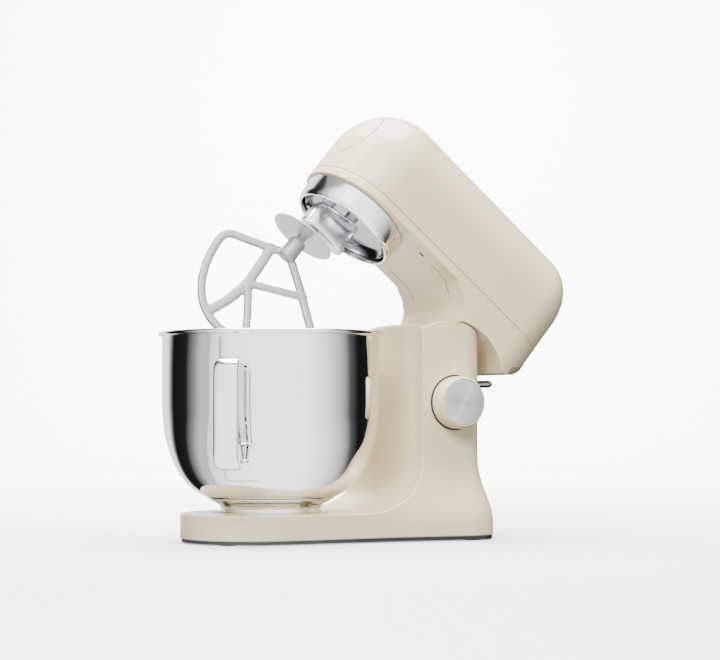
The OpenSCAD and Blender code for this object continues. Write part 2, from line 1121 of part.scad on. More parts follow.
module bowl_handle() {
    color(steel)
        difference() {
            union() {
                rotate([0, 0, handle_dir])
                    translate([0, handle_w / 2, 0])
                        rotate([90, 0, 0])
                            linear_extrude(handle_w)
                                difference() {
                                    soft_box([84, 75], [146.5, 183], 13);
                                    soft_box([70, 83], [138.5, 175], 8);
                                }
                // weld plate over the upper leg
                rotate([0, 0, handle_dir - 10])
                    rotate_extrude(angle = 20)
                        translate([bowl_r - 1, 172])
                            square([2, 33]);
            }
            rotate_extrude($fn = 180)
                polygon(concat(
                    [[0, bowl_floor - 20]],
                    [for (p = bowl_curve(-0.05)) p],
                    [[bowl_r + 0.05, 230], [0, 230]]));
        }
}

stand_casing();
base_plate();
rubber_feet();
base_screws();
bowl_seat();
hinge_bracket();
hinge_bushes();
hinge_shaft();
shaft_clips();
control_board();
board_heatsink();
speed_potentiometer();
interlock_switch();
cord_gland();
lever_pin();
lever_spring();
knob_index();
head_casing();
head_cover();
casing_screws();
hinge_arm();
arm_screws();
gearbox_housing();
gearbox_lid();
lid_screws();
hub_ring();
ring_gear();
carrier_bearings();
shaft_bearings();
motor_stator();
stator_coils();
motor_brackets();
carbon_brushes();
vent_grille();
outlet_collar();
motor_shaft();
motor_pinion();
armature();
commutator();
cooling_fan();
layshaft();
layshaft_gear();
layshaft_bevel();
outlet_drive();
carrier_shaft();
bevel_wheel();
carrier_dish();
planet_arm();
tool_shaft();
planet_pinion();
flour_shield();
beater();
outlet_cap();
knob_body();
knob_face();
knob_spindle();
release_lever();
bowl_shell();
bowl_foot();
bowl_handle();
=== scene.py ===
"""Surfaces and finishes of a tilt-head stand mixer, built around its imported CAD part.

Shapes are worked out in millimetres on numpy grids and put into meshes in metres.
Origin: where the bowl's axis meets the table, +Z up, the bowl end towards -X.
"""
import math

import bmesh
import bpy
import numpy as np
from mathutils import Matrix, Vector


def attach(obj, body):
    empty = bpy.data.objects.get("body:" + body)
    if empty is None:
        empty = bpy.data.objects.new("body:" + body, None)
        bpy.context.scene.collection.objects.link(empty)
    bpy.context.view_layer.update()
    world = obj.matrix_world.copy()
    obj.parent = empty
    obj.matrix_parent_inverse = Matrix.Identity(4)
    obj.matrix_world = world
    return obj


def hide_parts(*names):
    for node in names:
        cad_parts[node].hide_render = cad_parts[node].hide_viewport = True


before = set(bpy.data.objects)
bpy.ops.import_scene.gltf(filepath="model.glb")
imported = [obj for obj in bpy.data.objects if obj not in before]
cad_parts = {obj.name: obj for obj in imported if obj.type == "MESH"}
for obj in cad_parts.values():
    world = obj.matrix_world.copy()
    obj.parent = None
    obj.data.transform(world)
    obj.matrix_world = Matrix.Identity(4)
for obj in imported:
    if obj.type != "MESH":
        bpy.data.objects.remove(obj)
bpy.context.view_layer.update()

bl_info = {
    "name": "Stand mixer",
    "version": (1, 0, 0),
    "blender": (4, 5, 0),
    "location": "3D View > Sidebar > Mixer",
    "description": "Builds the shells, bowl, beater and finishes of a tilt-head stand mixer",
    "category": "Add Mesh",
}

BASE_BOTTOM = 4.5
PILLAR_BACK = 211.0
BASE_BACK = 219.0
HINGE = np.array([170.5, 0.0, 160.7])
PILLAR_TOP_R = 63.3
SCOOP_R = 153.0
SCOOP_FLAT_R = 101.5
HUB_X = -170.5
SEAM_Z = 97.0
BELLY_Z = 87.0
CROWN_Z = 136.0
NOSE_L = 61.5
TAIL_X = 70.0
TAIL_R = 40.0
SADDLE_R = 64.6
SLOT_Y = 22.5
SLOT_FRONT = 158.3
ORBIT = 29.25
CAP_LIFT = math.radians(12)
KNOB = np.array([176.6, 0.0, 140.3])
LEVER = np.array([199.0, 0.0, 158.0])
BASE_TOP = 29.6
BASE_HALF = 73.0
PILLAR_HALF = 65.0
HEAD_R = 66.0
BOWL_FLOOR_R = 50.0
BOWL_FLOOR_Z = 43.0
BOWL_WALL_Z = 143.0

# metres and millimetres of film
CAMERA_LENS = 100.1
CAMERA_PLACE = (-0.8557, -1.8387, 0.1290)
CAMERA_AIM = (0.1013, 0, 0.2155)


# ---- frames: 4 x 4 matrices in millimetres ----

def shift(x, y, z):
    m = np.eye(4)
    m[:3, 3] = (x, y, z)
    return m


def turn(axis, degrees):
    """Right-handed turn about one of the axes 0, 1 or 2."""
    a = math.radians(degrees)
    i, j = [(1, 2), (2, 0), (0, 1)][axis]
    m = np.eye(4)
    m[i, i] = m[j, j] = math.cos(a)
    m[i, j], m[j, i] = -math.sin(a), math.sin(a)
    return m


WORLD = np.eye(4)
HEAD = shift(*HINGE) @ turn(1, 40)
HUB = HEAD @ shift(HUB_X, 0, 0)
TOOL = HUB @ shift(-ORBIT, 0, 0)
BEATER = TOOL @ turn(2, -20)


def placed(points, matrix):
    """Points turned and moved by a frame's matrix."""
    return points @ matrix[:3, :3].T + matrix[:3, 3]


# ---- profiles and surfaces ----

def blend_step(t):
    """Smooth step from 0 to 1: 3 t squared minus 2 t cubed."""
    t = np.clip(t, 0, 1)
    return t * t * (3 - 2 * t)


def softened(points, radius, closed=True, steps=5):
    """Polyline with each corner cut back by the radius along both sides and bridged by a
    parabola."""
    p = np.asarray(points, float)
    before, after = np.roll(p, 1, 0), np.roll(p, -1, 0)
    back, ahead = before - p, after - p
    back_len = np.linalg.norm(back, axis=1, keepdims=True)
    ahead_len = np.linalg.norm(ahead, axis=1, keepdims=True)
    r = np.broadcast_to(np.asarray(radius, float).reshape(-1, 1), (len(p), 1)).copy()
    if not closed:
        r[0] = r[-1] = 0
    cut = np.minimum(r, 0.48 * np.minimum(back_len, ahead_len))
    a = p + back / np.maximum(back_len, 1e-9) * cut
    b = p + ahead / np.maximum(ahead_len, 1e-9) * cut
    s = np.linspace(0, 1, steps).reshape(1, -1, 1)
    q = (1 - s) ** 2 * a[:, None] + 2 * s * (1 - s) * p[:, None] + s ** 2 * b[:, None]
    q = q.reshape(-1, p.shape[1])
    keep = np.ones(len(q), bool)
    keep[1:] = np.linalg.norm(np.diff(q, axis=0), axis=1) > 1e-6
    return q[keep]


def spread(path, n, closed=False):
    """The path sampled again at n points evenly spaced along its length."""
    p = np.vstack([path, path[:1]]) if closed else path
    along = np.concatenate([[0], np.cumsum(np.linalg.norm(np.diff(p, axis=0), axis=1))])
    at = np.linspace(0, along[-1], n, endpoint=not closed)
    return np.stack([np.interp(at, along, p[:, k]) for k in range(p.shape[1])], 1)


def lathed(profile, segments=128, start=0.0, sweep=360.0):
    """Surface of revolution: each profile point (r, z) carried round the Z axis."""
    p = np.asarray(profile, float)
    a = np.radians(np.linspace(start, start + sweep, segments + 1))[None, :]
    r, z = p[:, :1], p[:, 1:]
    return np.stack([r * np.cos(a), r * np.sin(a), z + 0 * a], 2)


def ringed(outline, segments=128, start=0.0, sweep=360.0):
    """Surface of revolution of a closed outline."""
    return lathed(np.vstack([outline, outline[:1]]), segments, start, sweep)


def looped(section):
    """The section with its first point added again at the end."""
    return np.vstack([section, section[:1]])


def rounded_section(width, height, power=3.2, n=28):
    """Superellipse: the powers of the cosine and sine round off a rectangle."""
    a = np.linspace(0, 2 * math.pi, n, endpoint=False)
    c, s = np.cos(a), np.sin(a)
    e = 2 / power
    return np.stack([np.sign(c) * np.abs(c) ** e * width / 2,
                     np.sign(s) * np.abs(s) ** e * height / 2], 1)


def swept(path, section, normal, closed=False):
    """The section carried along a flat path: its x goes sideways in the path's plane and its y
    along the plane's normal. Open ends are closed by a shallow dome."""
    p = np.asarray(path, float)
    ahead = np.roll(p, -1, 0) - np.roll(p, 1, 0)
    if not closed:
        ahead[0], ahead[-1] = p[1] - p[0], p[-1] - p[-2]
    t = ahead / np.linalg.norm(ahead, axis=1, keepdims=True)
    b = np.asarray(normal, float)
    side = np.cross(b, t)
    scale = np.ones(len(p))
    if not closed:
        depth = 0.35 * np.ptp(section[:, 0])
        lift = np.array([1.0, 0.92, 0.6, 0.0])
        size = np.array([0.0, 0.55, 0.88, 1.0])
        p = np.vstack([p[0] - t[0] * depth * lift[:, None], p[1:-1],
                       p[-1] + t[-1] * depth * lift[::-1, None]])
        side = np.vstack([np.repeat(side[:1], 4, 0), side[1:-1], np.repeat(side[-1:], 4, 0)])
        scale = np.concatenate([size, np.ones(len(t) - 2), size[::-1]])
    sec = looped(section)
    grid = (p[:, None] + scale[:, None, None]
            * (sec[None, :, :1] * side[:, None] + sec[None, :, 1:] * b))
    return np.concatenate([grid, grid[:1]]) if closed else grid


def between(edge_a, edge_b, rows, curve=None):
    """Ruled grid: straight lines from each point of one edge to its partner on the other."""
    s = np.linspace(0, 1, rows) if curve is None else np.asarray(curve, float)
    return edge_a[None] * (1 - s)[:, None, None] + edge_b[None] * s[:, None, None]


def patch(left, right, bottom, top):
    """Coons patch: the two ruled grids of opposite edges added, less the grid of the corners."""
    u = np.linspace(0, 1, len(bottom))[None, :, None]
    v = np.linspace(0, 1, len(left))[:, None, None]
    ruled = (1 - u) * left[:, None] + u * right[:, None] + (1 - v) * bottom[None] + v * top[None]
    corners = ((1 - u) * (1 - v) * bottom[0] + u * (1 - v) * bottom[-1]
               + (1 - u) * v * top[0] + u * v * top[-1])
    return ruled - corners


# ---- meshes ----

def grid_faces(rows, cols, keep=None):
    i = np.arange((rows - 1) * (cols - 1))
    a = i // (cols - 1) * cols + i % (cols - 1)
    f = np.stack([a, a + 1, a + cols + 1, a + cols], 1)
    return f if keep is None else f[keep.ravel()]


def add_piece(name, grids, body, material, instead_of=(), sharp=35, holes=None,
              open_shell=False, matrix=WORLD):
    """Mesh from grids of points in millimetres. Points that meet are merged, squares that
    shrink to a line are dropped, and the faces are turned outwards. The UV map holds each
    grid's own two parameters."""
    verts, faces, uvs, n = [], [], [], 0
    for k, g in enumerate(grids):
        rows, cols = g.shape[:2]
        v, u = np.meshgrid(np.linspace(0, 1, rows), np.linspace(0, 1, cols), indexing="ij")
        keep = holes[k] if holes and holes[k] is not None else None
        verts.append(placed(g.reshape(-1, 3), matrix))
        uvs.append(np.stack([u, v], 2).reshape(-1, 2))
        faces.append(grid_faces(rows, cols, keep) + n)
        n += rows * cols
    verts, uvs, faces = np.vstack(verts), np.vstack(uvs), np.vstack(faces)
    _, first, place = np.unique(np.round(verts / 0.01).astype(np.int64), axis=0,
                                return_index=True, return_inverse=True)
    place = place.reshape(-1)
    merged = place[faces]
    solid = merged != np.roll(merged, -1, 1)
    count = solid.sum(1)
    quad, tri = count == 4, count == 3
    loops = [merged[quad].tolist(), merged[tri][solid[tri]].reshape(-1, 3).tolist()]
    me = bpy.data.meshes.new(name)
    me.from_pydata((verts[first] * 0.001).tolist(), [], loops[0] + loops[1])
    corner_uv = np.vstack([uvs[faces[quad]].reshape(-1, 2), uvs[faces[tri][solid[tri]]]])
    layer = me.uv_layers.new(name="UVMap")
    layer.data.foreach_set("uv", corner_uv.astype(np.float32).ravel())
    me.validate()
    bm = bmesh.new()
    bm.from_mesh(me)
    bmesh.ops.remove_doubles(bm, verts=bm.verts, dist=2e-6)
    bmesh.ops.recalc_face_normals(bm, faces=bm.faces)
    if open_shell:
        bm.to_mesh(me)
        co, no = np.zeros((2, len(me.polygons) * 3))
        area = np.zeros(len(me.polygons))
        me.polygons.foreach_get("center", co)
        me.polygons.foreach_get("normal", no)
        me.polygons.foreach_get("area", area)
        co, no = co.reshape(-1, 3), no.reshape(-1, 3) * area[:, None]
        if ((co - co.mean(0)) * no).sum() < 0:
            bmesh.ops.reverse_faces(bm, faces=bm.faces)
    bm.to_mesh(me)
    bm.free()
    me.shade_smooth()
    me.set_sharp_from_angle(angle=math.radians(sharp))
    me.materials.append(material)
    obj = bpy.data.objects.new(name, me)
    bpy.context.scene.collection.objects.link(obj)
    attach(obj, body)
    if instead_of:
        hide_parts(*instead_of)
    return obj


def give_wall(obj, thickness):
    m = obj.modifiers.new("Wall", "SOLIDIFY")
    m.thickness = thickness * 0.001
    m.offset = -1
    m.use_even_offset = True


def round_edges(obj, width, segments=3, angle=40):
    m = obj.modifiers.new("Round edges", "BEVEL")
    m.width = width * 0.001
    m.segments = segments
    m.limit_method = "ANGLE"
    m.angle_limit = math.radians(angle)
    m.use_clamp_overlap = False
    m.harden_normals = True
    m.miter_outer = "MITER_ARC"


# ---- finishes ----

class Nodes:
    """Short hand for building one material's node tree."""

    def __init__(self, name):
        self.material = bpy.data.materials.new(name)
        self.material.use_nodes = True
        self.tree = self.material.node_tree
        self.shader = self.tree.nodes["Principled BSDF"]

    def add(self, kind, **values):
        n = self.tree.nodes.new(kind)
        for k, v in values.items():
            if hasattr(n, k):
                setattr(n, k, v)
            else:
                n.inputs[k.replace("_", " ")].default_value = v
        return n

    def link(self, a, b):
        self.tree.links.new(a, b)

    def coords(self, scale=(1, 1, 1), rotation=(0, 0, 0), source="Object"):
        c = self.add("ShaderNodeTexCoord")
        m = self.add("ShaderNodeMapping")
        m.inputs["Scale"].default_value = scale
        m.inputs["Rotation"].default_value = rotation
        self.link(c.outputs[source], m.inputs["Vector"])
        return m.outputs["Vector"]

    def noise(self, vector, scale, detail=3.0, roughness=0.5):
        n = self.add("ShaderNodeTexNoise", Scale=scale, Detail=detail, Roughness=roughness)
        self.link(vector, n.inputs["Vector"])
        return n.outputs["Fac"]

    def spread(self, factor, low, high):
        m = self.add("ShaderNodeMapRange")
        m.inputs["To Min"].default_value = low
        m.inputs["To Max"].default_value = high
        self.link(factor, m.inputs["Value"])
        return m.outputs["Result"]

    def tint(self, factor, colour_a, colour_b):
        m = self.add("ShaderNodeMix", data_type="RGBA")
        # sockets 6 and 7 are the colours A and B
        m.inputs[6].default_value = (*colour_a, 1)
        m.inputs[7].default_value = (*colour_b, 1)
        self.link(factor, m.inputs[0])
        return m.outputs[2]

    def bump(self, height, strength, distance):
        b = self.add("ShaderNodeBump", Strength=strength, Distance=distance)
        self.link(height, b.inputs["Height"])
        self.link(b.outputs["Normal"], self.shader.inputs["Normal"])

    def set(self, **values):
        for k, v in values.items():
            self.shader.inputs[k.replace("_", " ")].default_value = v


def shade(colour, amount):
    return tuple(max(0.0, min(1.0, c * amount)) for c in colour)


def plain_finish(name, colour, metallic, rough, grain=900, grain_depth=0.00004, mottle=60,
                 contrast=0.06, coat=0.0, stretch=(1, 1, 1), rotation=(0, 0, 0), rough_swing=0.05,
                 bump_strength=0.25):
    """Colour and gloss that wander a little with slow noise, over a fine grain in the surface."""
    n = Nodes(name)
    slow = n.noise(n.coords(), mottle, 3)
    fine = n.noise(n.coords(stretch, rotation), grain, 2)
    n.link(n.tint(slow, shade(colour, 1 - contrast), shade(colour, 1 + contrast)),
           n.shader.inputs["Base Color"])
    n.link(n.spread(slow, max(0.02, rough - rough_swing), rough + rough_swing),
           n.shader.inputs["Roughness"])
    n.bump(fine, bump_strength, grain_depth)
    n.set(Metallic=metallic)
    if coat:
        n.set(Coat_Weight=coat, Coat_Roughness=0.08)
    return n.material


def enamel_finish(name, colour):
    """Sprayed gloss enamel: soft highlight, faint orange peel, hardly any change of colour."""
    n = Nodes(name)
    slow = n.noise(n.coords(), 9, 2)
    peel = n.noise(n.coords(), 420, 2, 0.4)
    n.link(n.tint(slow, shade(colour, 0.985), shade(colour, 1.01)),
           n.shader.inputs["Base Color"])
    n.link(n.spread(peel, 0.27, 0.33), n.shader.inputs["Roughness"])
    n.bump(peel, 0.12, 0.00006)
    n.set(Metallic=0.0, Coat_Weight=0.35, Coat_Roughness=0.12)
    return n.material


def mirror_finish(name, colour, rough, stretch, depth=0.000012, swing=0.03):
    """Polished metal: polishing lines drawn out by the stretch change gloss and height a little."""
    n = Nodes(name)
    lines = n.noise(n.coords(stretch), 260, 3)
    cloud = n.noise(n.coords(), 16, 2)
    n.link(n.tint(cloud, shade(colour, 0.96), colour), n.shader.inputs["Base Color"])
    n.link(n.spread(lines, max(0.02, rough - swing), rough + swing), n.shader.inputs["Roughness"])
    n.bump(lines, 0.1, depth)
    n.set(Metallic=1.0)
    return n.material


def turned_finish(name, colour):
    """Face turned on a lathe: fine rings in the UV map's second direction and a highlight that
    fans out, because the stretch of the reflection follows the first one."""
    n = Nodes(name)
    rings = n.noise(n.coords((2, 240, 1), source="UV"), 3, 2)
    tangent = n.add("ShaderNodeTangent", direction_type="UV_MAP")
    tangent.uv_map = "UVMap"
    n.link(tangent.outputs["Tangent"], n.shader.inputs["Tangent"])
    n.link(n.tint(rings, shade(colour, 0.8), colour), n.shader.inputs["Base Color"])
    n.link(n.spread(rings, 0.34, 0.46), n.shader.inputs["Roughness"])
    n.bump(rings, 0.2, 0.00002)
    n.set(Metallic=1.0, Anisotropic=0.75)
    return n.material


def banded_finish(name, colour_a, colour_b, metallic, rough, scale, rotation=(0, 0, 0)):
    """Stacked sheets or wound wire: fine bands across one direction."""
    n = Nodes(name)
    wave = n.add("ShaderNodeTexWave", Scale=scale, Distortion=0.4, Detail=1.0)
    wave.bands_direction = "X"
    n.link(n.coords((1, 1, 1), rotation), wave.inputs["Vector"])
    n.link(n.tint(wave.outputs["Fac"], colour_a, colour_b), n.shader.inputs["Base Color"])
    n.link(n.spread(wave.outputs["Fac"], rough, rough + 0.12), n.shader.inputs["Roughness"])
    n.bump(wave.outputs["Fac"], 0.4, 0.0001)
    n.set(Metallic=metallic)
    return n.material


def make_finishes(c):
    f = {}
    f["enamel"] = enamel_finish("Cream enamel", tuple(c.enamel))
    f["bowl"] = mirror_finish("Polished bowl steel", tuple(c.steel), 0.05, (1, 1, 14))
    f["bowl_foot"] = mirror_finish("Rolled foot steel", tuple(c.steel), 0.12, (1, 1, 10))
    f["handle"] = mirror_finish("Polished handle steel", tuple(c.steel), 0.08, (6, 6, 1))
    f["chrome"] = mirror_finish("Chrome plate", (0.86, 0.87, 0.89), 0.05, (3, 3, 3))
    f["band"] = mirror_finish("Polished hub band", (0.93, 0.935, 0.94), 0.13, (3, 3, 12))
    f["arm"] = mirror_finish("Satin planet arm", (0.90, 0.905, 0.91), 0.22, (3, 3, 5))
    f["dish"] = mirror_finish("Dark polished dish", (0.42, 0.43, 0.45), 0.10, (3, 3, 8))
    f["beater"] = plain_finish("Satin cast alloy", tuple(c.beater), 0.55, 0.36, 1500, 0.00006,
                               40, 0.04)
    f["disc"] = plain_finish("Satin flour disc", (0.74, 0.74, 0.75), 0.45, 0.34, 1500, 0.00005,
                             40, 0.04)
    f["face"] = turned_finish("Turned knob face", (0.62, 0.625, 0.63))
    f["plastic"] = plain_finish("Black moulded plastic", (0.018, 0.018, 0.02), 0.0, 0.42, 1600,
                                0.00005, 30, 0.2)
    f["rubber"] = plain_finish("Black rubber", (0.02, 0.02, 0.021), 0.0, 0.7, 1100, 0.00006,
                               25, 0.25)
    f["grey"] = plain_finish("Grey moulded recess", (0.42, 0.40, 0.37), 0.0, 0.5, 1500,
                             0.00005, 30, 0.1)
    f["steel"] = plain_finish("Machined steel", (0.58, 0.59, 0.61), 1.0, 0.28, 800, 0.00003,
                              40, 0.08, stretch=(1, 1, 9), rough_swing=0.08)
    f["casting"] = plain_finish("Raw casting", (0.60, 0.61, 0.63), 0.9, 0.5, 500, 0.0002,
                                50, 0.08, bump_strength=0.5)
    f["bronze"] = plain_finish("Sintered bronze", (0.62, 0.44, 0.20), 1.0, 0.38, 1300, 0.00006,
                               60, 0.12)
    f["copper"] = banded_finish("Wound copper", (0.50, 0.20, 0.09), (0.80, 0.40, 0.22), 1.0,
                                0.28, 380, (0, math.radians(40), 0))
    f["segments"] = banded_finish("Commutator copper", (0.62, 0.32, 0.17), (0.80, 0.45, 0.26),
                                  1.0, 0.22, 120, (0.3, 0, 0))
    f["lamination"] = banded_finish("Stacked sheets", (0.16, 0.165, 0.18), (0.33, 0.34, 0.36),
                                    0.9, 0.42, 300, (0, math.radians(40), 0))
    f["nylon"] = plain_finish("Natural nylon", (0.80, 0.77, 0.68), 0.0, 0.45, 900, 0.00004,
                              30, 0.05)
    f["white"] = plain_finish("White print", (0.96, 0.96, 0.95), 0.0, 0.4, 1500, 0.00002, 50,
                              0.02)
    f["print"] = plain_finish("Grey print", (0.36, 0.33, 0.29), 0.0, 0.45, 1500, 0.00002, 50,
                              0.05)
    n = Nodes("Green circuit board")
    cells = n.add("ShaderNodeTexVoronoi", Scale=260.0)
    n.link(n.coords(), cells.inputs["Vector"])
    n.link(n.tint(cells.outputs["Distance"], (0.01, 0.09, 0.04), (0.04, 0.26, 0.12)),
           n.shader.inputs["Base Color"])
    n.link(n.spread(cells.outputs["Distance"], 0.25, 0.5), n.shader.inputs["Roughness"])
    n.bump(cells.outputs["Distance"], 0.3, 0.0002)
    f["board"] = n.material
    return f


KEPT = {
    "plastic": ["base_plate", "cord_gland", "speed_potentiometer", "interlock_switch",
                "vent_grille", "carbon_brushes", "cooling_fan", "outlet_collar"],
    "rubber": ["rubber_feet"],
    "steel": ["base_screws", "hinge_bracket", "hinge_shaft", "shaft_clips", "lever_pin",
              "lever_spring", "casing_screws", "arm_screws", "lid_screws", "ring_gear",
              "carrier_bearings", "shaft_bearings", "motor_shaft", "layshaft",
              "layshaft_bevel", "outlet_drive", "carrier_shaft", "bevel_wheel", "tool_shaft",
              "planet_pinion", "knob_spindle"],
    "enamel": ["bowl_seat"],
    "bronze": ["hinge_bushes", "motor_pinion"],
    "board": ["control_board"],
    "casting": ["board_heatsink", "hinge_arm", "gearbox_housing", "gearbox_lid",
                "motor_brackets"],
    "lamination": ["motor_stator", "armature"],
    "copper": ["stator_coils"],
    "segments": ["commutator"],
    "nylon": ["layshaft_gear"],
    "white": ["knob_index"],
}
FINISH = {}


# ---- stand ----

def flare(x, z, base_y):
    """Half width of the stand: the base's half width, drawn in to the pillar's with height by
    1 minus a power of the distance left to climb, and only behind the bowl."""
    t = np.clip((z - 22) / 63, 0, 1)
    drawn = (1 - (1 - t ** 1.6) ** 2.4) * blend_step((x - 72) / 45)
    return base_y - (base_y - PILLAR_HALF) * drawn


def base_side(x):
    """Half width of the base along x, growing towards the tail."""
    return np.interp(x, [-200, 110, 150, 195], [BASE_HALF, BASE_HALF, 78, 83.8])


def rear_x(z):
    t = np.clip((z - 22) / 63, 0, 1)
    return BASE_BACK - (BASE_BACK - PILLAR_BACK) * (1 - (1 - t ** 1.6) ** 2.4)


def scoop_radius(z):
    """Radius of the bowl's hollow at height z: a quarter circle up from the flat, then upright."""
    r = SCOOP_R - SCOOP_FLAT_R
    d = np.clip(BASE_TOP + r - z, 0, r)
    return SCOOP_FLAT_R + np.sqrt(np.maximum(r * r - d * d, 0))


def crest(x):
    """Height of the pillar's rounded top over x."""
    return HINGE[2] + np.sqrt(np.maximum(PILLAR_TOP_R ** 2 - (x - HINGE[0]) ** 2, 0))


def stand_shell(edge_round):
    """Welded patches: walls as half width over (x, z), the hollow as a surface of revolution
    about the bowl's axis, the flat base top as a polar grid and the pillar's top as an arc."""
    top = BASE_TOP
    side_x = 190.0
    climb = np.concatenate([
        top + (SCOOP_R - SCOOP_FLAT_R) * (1 - np.cos(np.radians(np.linspace(0, 90, 19)))),
        np.linspace(81.1, 150, 10)[1:]])
    upper = np.array([150, 152, 158.7, 165.3, 172, 186, 197])
    lift = np.linspace(0, 1, 5)[1:]
    x_front = scoop_radius(climb)
    for _ in range(8):
        w = flare(x_front, climb, base_side(x_front))
        x_front = np.sqrt(np.maximum(scoop_radius(climb) ** 2 - w ** 2, 0))
    front_edge = np.stack([x_front, climb], 1)

    # side wall below z = 150, fanned from the front edge to the bottom and rear lines
    foot_x, foot_z = front_edge[0, 0], BASE_BOTTOM
    rear_line = np.array([[foot_x, foot_z], [side_x, foot_z], [side_x, 150.0]])
    n_foot = 11
    far_edge = np.vstack([np.linspace(rear_line[0], rear_line[1], n_foot),
                          np.linspace(rear_line[1], rear_line[2],
                                      len(climb) - n_foot + 1)[1:]])
    fan = between(front_edge, far_edge, 11).transpose(1, 0, 2)
    columns = fan[-1, :, 0]

    def wall_points(xz):
        x, z = xz[..., 0], xz[..., 1]
        return np.stack([x, -flare(x, z, base_side(x)), z], -1)

    low_side = wall_points(fan)

    def rising(x):
        """Heights of the rows above z = 150 over each x."""
        first = np.broadcast_to(upper, (*np.shape(x), len(upper)))
        rest = upper[-1] + (crest(x)[..., None] - upper[-1]) * lift
        return np.concatenate([first, rest], -1)

    heights = rising(columns).T
    high_side = wall_points(np.stack([np.broadcast_to(columns, heights.shape), heights], -1))

    # rounded rear corner and rear wall, one row for each height of the far edge
    rear_z = np.concatenate([far_edge[n_foot - 1:, 1], upper[1:]])
    a = np.radians(np.linspace(90, 0, 9))

    def rear_rows(z):
        y0 = flare(np.full_like(z, side_x), z, base_side(np.full_like(z, side_x)))[..., None]
        xr = rear_x(z)[..., None]
        deep = xr - side_x
        x = side_x + deep * np.sin(math.pi / 2 - a)
        y = y0 - 15 + 15 * np.sin(a)
        return np.stack([x, -y, z[..., None] + 0 * x], -1)

    corner_low = rear_rows(rear_z)
    corner_xy = corner_low[-1]
    top_z = rising(corner_xy[:, 0])[:, len(upper):].T
    corner_high = np.stack([np.broadcast_to(corner_xy[:, 0], top_z.shape),
                            np.broadcast_to(corner_xy[:, 1], top_z.shape), top_z], -1)
    corner = np.concatenate([corner_low, corner_high])
    n_wide = 7
    y_edge = corner[:, -1, 1]
    mid = np.array([-SLOT_Y, -19, -9, 0, 9, 19, SLOT_Y])
    wide = np.linspace(0, 1, n_wide)
    left = y_edge[:, None] + (-SLOT_Y - y_edge[:, None]) * wide
    rear_y = np.concatenate([left[:, :-1], np.broadcast_to(mid, (len(corner), 7)),
                             -left[:, ::-1][:, 1:]], 1)
    rear = np.stack([np.broadcast_to(corner[:, -1:, 0], rear_y.shape), rear_y,
                     np.broadcast_to(corner[:, -1:, 2], rear_y.shape)], -1)
    rows_low = len(rear_z)
    keep_rear = np.ones((rear.shape[0] - 1, rear.shape[1] - 1), bool)
    slot_cols = slice(n_wide - 1, n_wide + 5)
    keep_rear[rows_low - 1:, slot_cols] = False
    lever_rows = np.where((rear[:-1, 0, 2] >= 151.9) & (rear[1:, 0, 2] <= 172.1))[0]
    keep_rear[lever_rows[0]:lever_rows[-1] + 1, n_wide:n_wide + 4] = False

    # hollow for the bowl, and the pillar's front above it
    half = np.arcsin(-low_side[:, 0, 1] / scoop_radius(climb))
    share = math.asin(SLOT_Y / SCOOP_R) / math.asin(65 / SCOOP_R)
    n_front = n_wide + 8
    f = np.concatenate([np.linspace(-1, -share, n_front)[:-1], np.linspace(-share, share, 7),
                        np.linspace(share, 1, n_front)[1:]])
    angle = half[:, None] * f
    r = scoop_radius(climb)[:, None]
    hollow = np.stack([r * np.cos(angle), r * np.sin(angle), climb[:, None] + 0 * angle], -1)
    fx, fy = hollow[-1, :, 0], hollow[-1, :, 1]
    fz = rising(fx).T
    front = np.stack([np.broadcast_to(fx, fz.shape), np.broadcast_to(fy, fz.shape), fz], -1)

    # cheeks of the rounded top on both sides of the arm's slot, and the bridge in front of it
    side_edge = high_side[-1]
    front_edge_top = front[-1, :n_front]
    back_edge = np.vstack([corner[-1], rear[-1, 1:n_wide]])
    slot_x = np.concatenate([np.linspace(front_edge_top[-1, 0], SLOT_FRONT, 3),
                             np.linspace(SLOT_FRONT, back_edge[-1, 0],
                                         len(side_edge) - 2)[1:]])
    slot_edge = np.stack([slot_x, np.full_like(slot_x, -SLOT_Y), crest(slot_x)], 1)
    cheek = patch(side_edge, slot_edge, front_edge_top, back_edge)
    cheek[..., 2] = crest(cheek[..., 0])
    lip = front[-1, n_front - 1:n_front + 6]
    bridge = between(lip, lip * (0, 1, 1) + (SLOT_FRONT, 0, 0), 3)
    bridge[..., 2] = crest(bridge[..., 0])

    # flat top of the base and its wall round the front
    side_pts = np.stack([np.linspace(foot_x, -20, 19), np.full(19, -BASE_HALF)], 1)[1:]
    nose = np.radians(np.linspace(270, 90, 37))
    nose_pts = np.stack([-20 + BASE_HALF * np.cos(nose), BASE_HALF * np.sin(nose)], 1)[1:-1]
    other = side_pts[::-1] * (1, -1)
    outline = np.vstack([[foot_x, -BASE_HALF], side_pts, nose_pts, other,
                         [foot_x, BASE_HALF]])
    level = np.concatenate([outline, np.full((len(outline), 1), top)], 1)
    ground = level.copy()
    ground[:, 2] = BASE_BOTTOM
    wall = between(ground, level, fan.shape[1])
    rim = np.vstack([level, hollow[0, ::-1][1:]])
    around = np.arctan2(rim[:, 1], rim[:, 0])
    hole = np.stack([58.2 * np.cos(around), 58.2 * np.sin(around), np.full(len(rim), top)], 1)
    flat = between(hole, rim, 5)

    def mirrored(g):
        return g * (1, -1, 1)

    grids = [low_side, mirrored(low_side), high_side, mirrored(high_side), corner,
             mirrored(corner), rear, hollow, front, cheek, mirrored(cheek), bridge, wall, flat]
    holes = [None] * 6 + [keep_rear] + [None] * 7
    obj = add_piece("stand_shell", grids, "stand", FINISH["enamel"],
                    ["stand_casing"], open_shell=True, holes=holes)
    give_wall(obj, 3.2)
    round_edges(obj, edge_round)


# ---- head ----

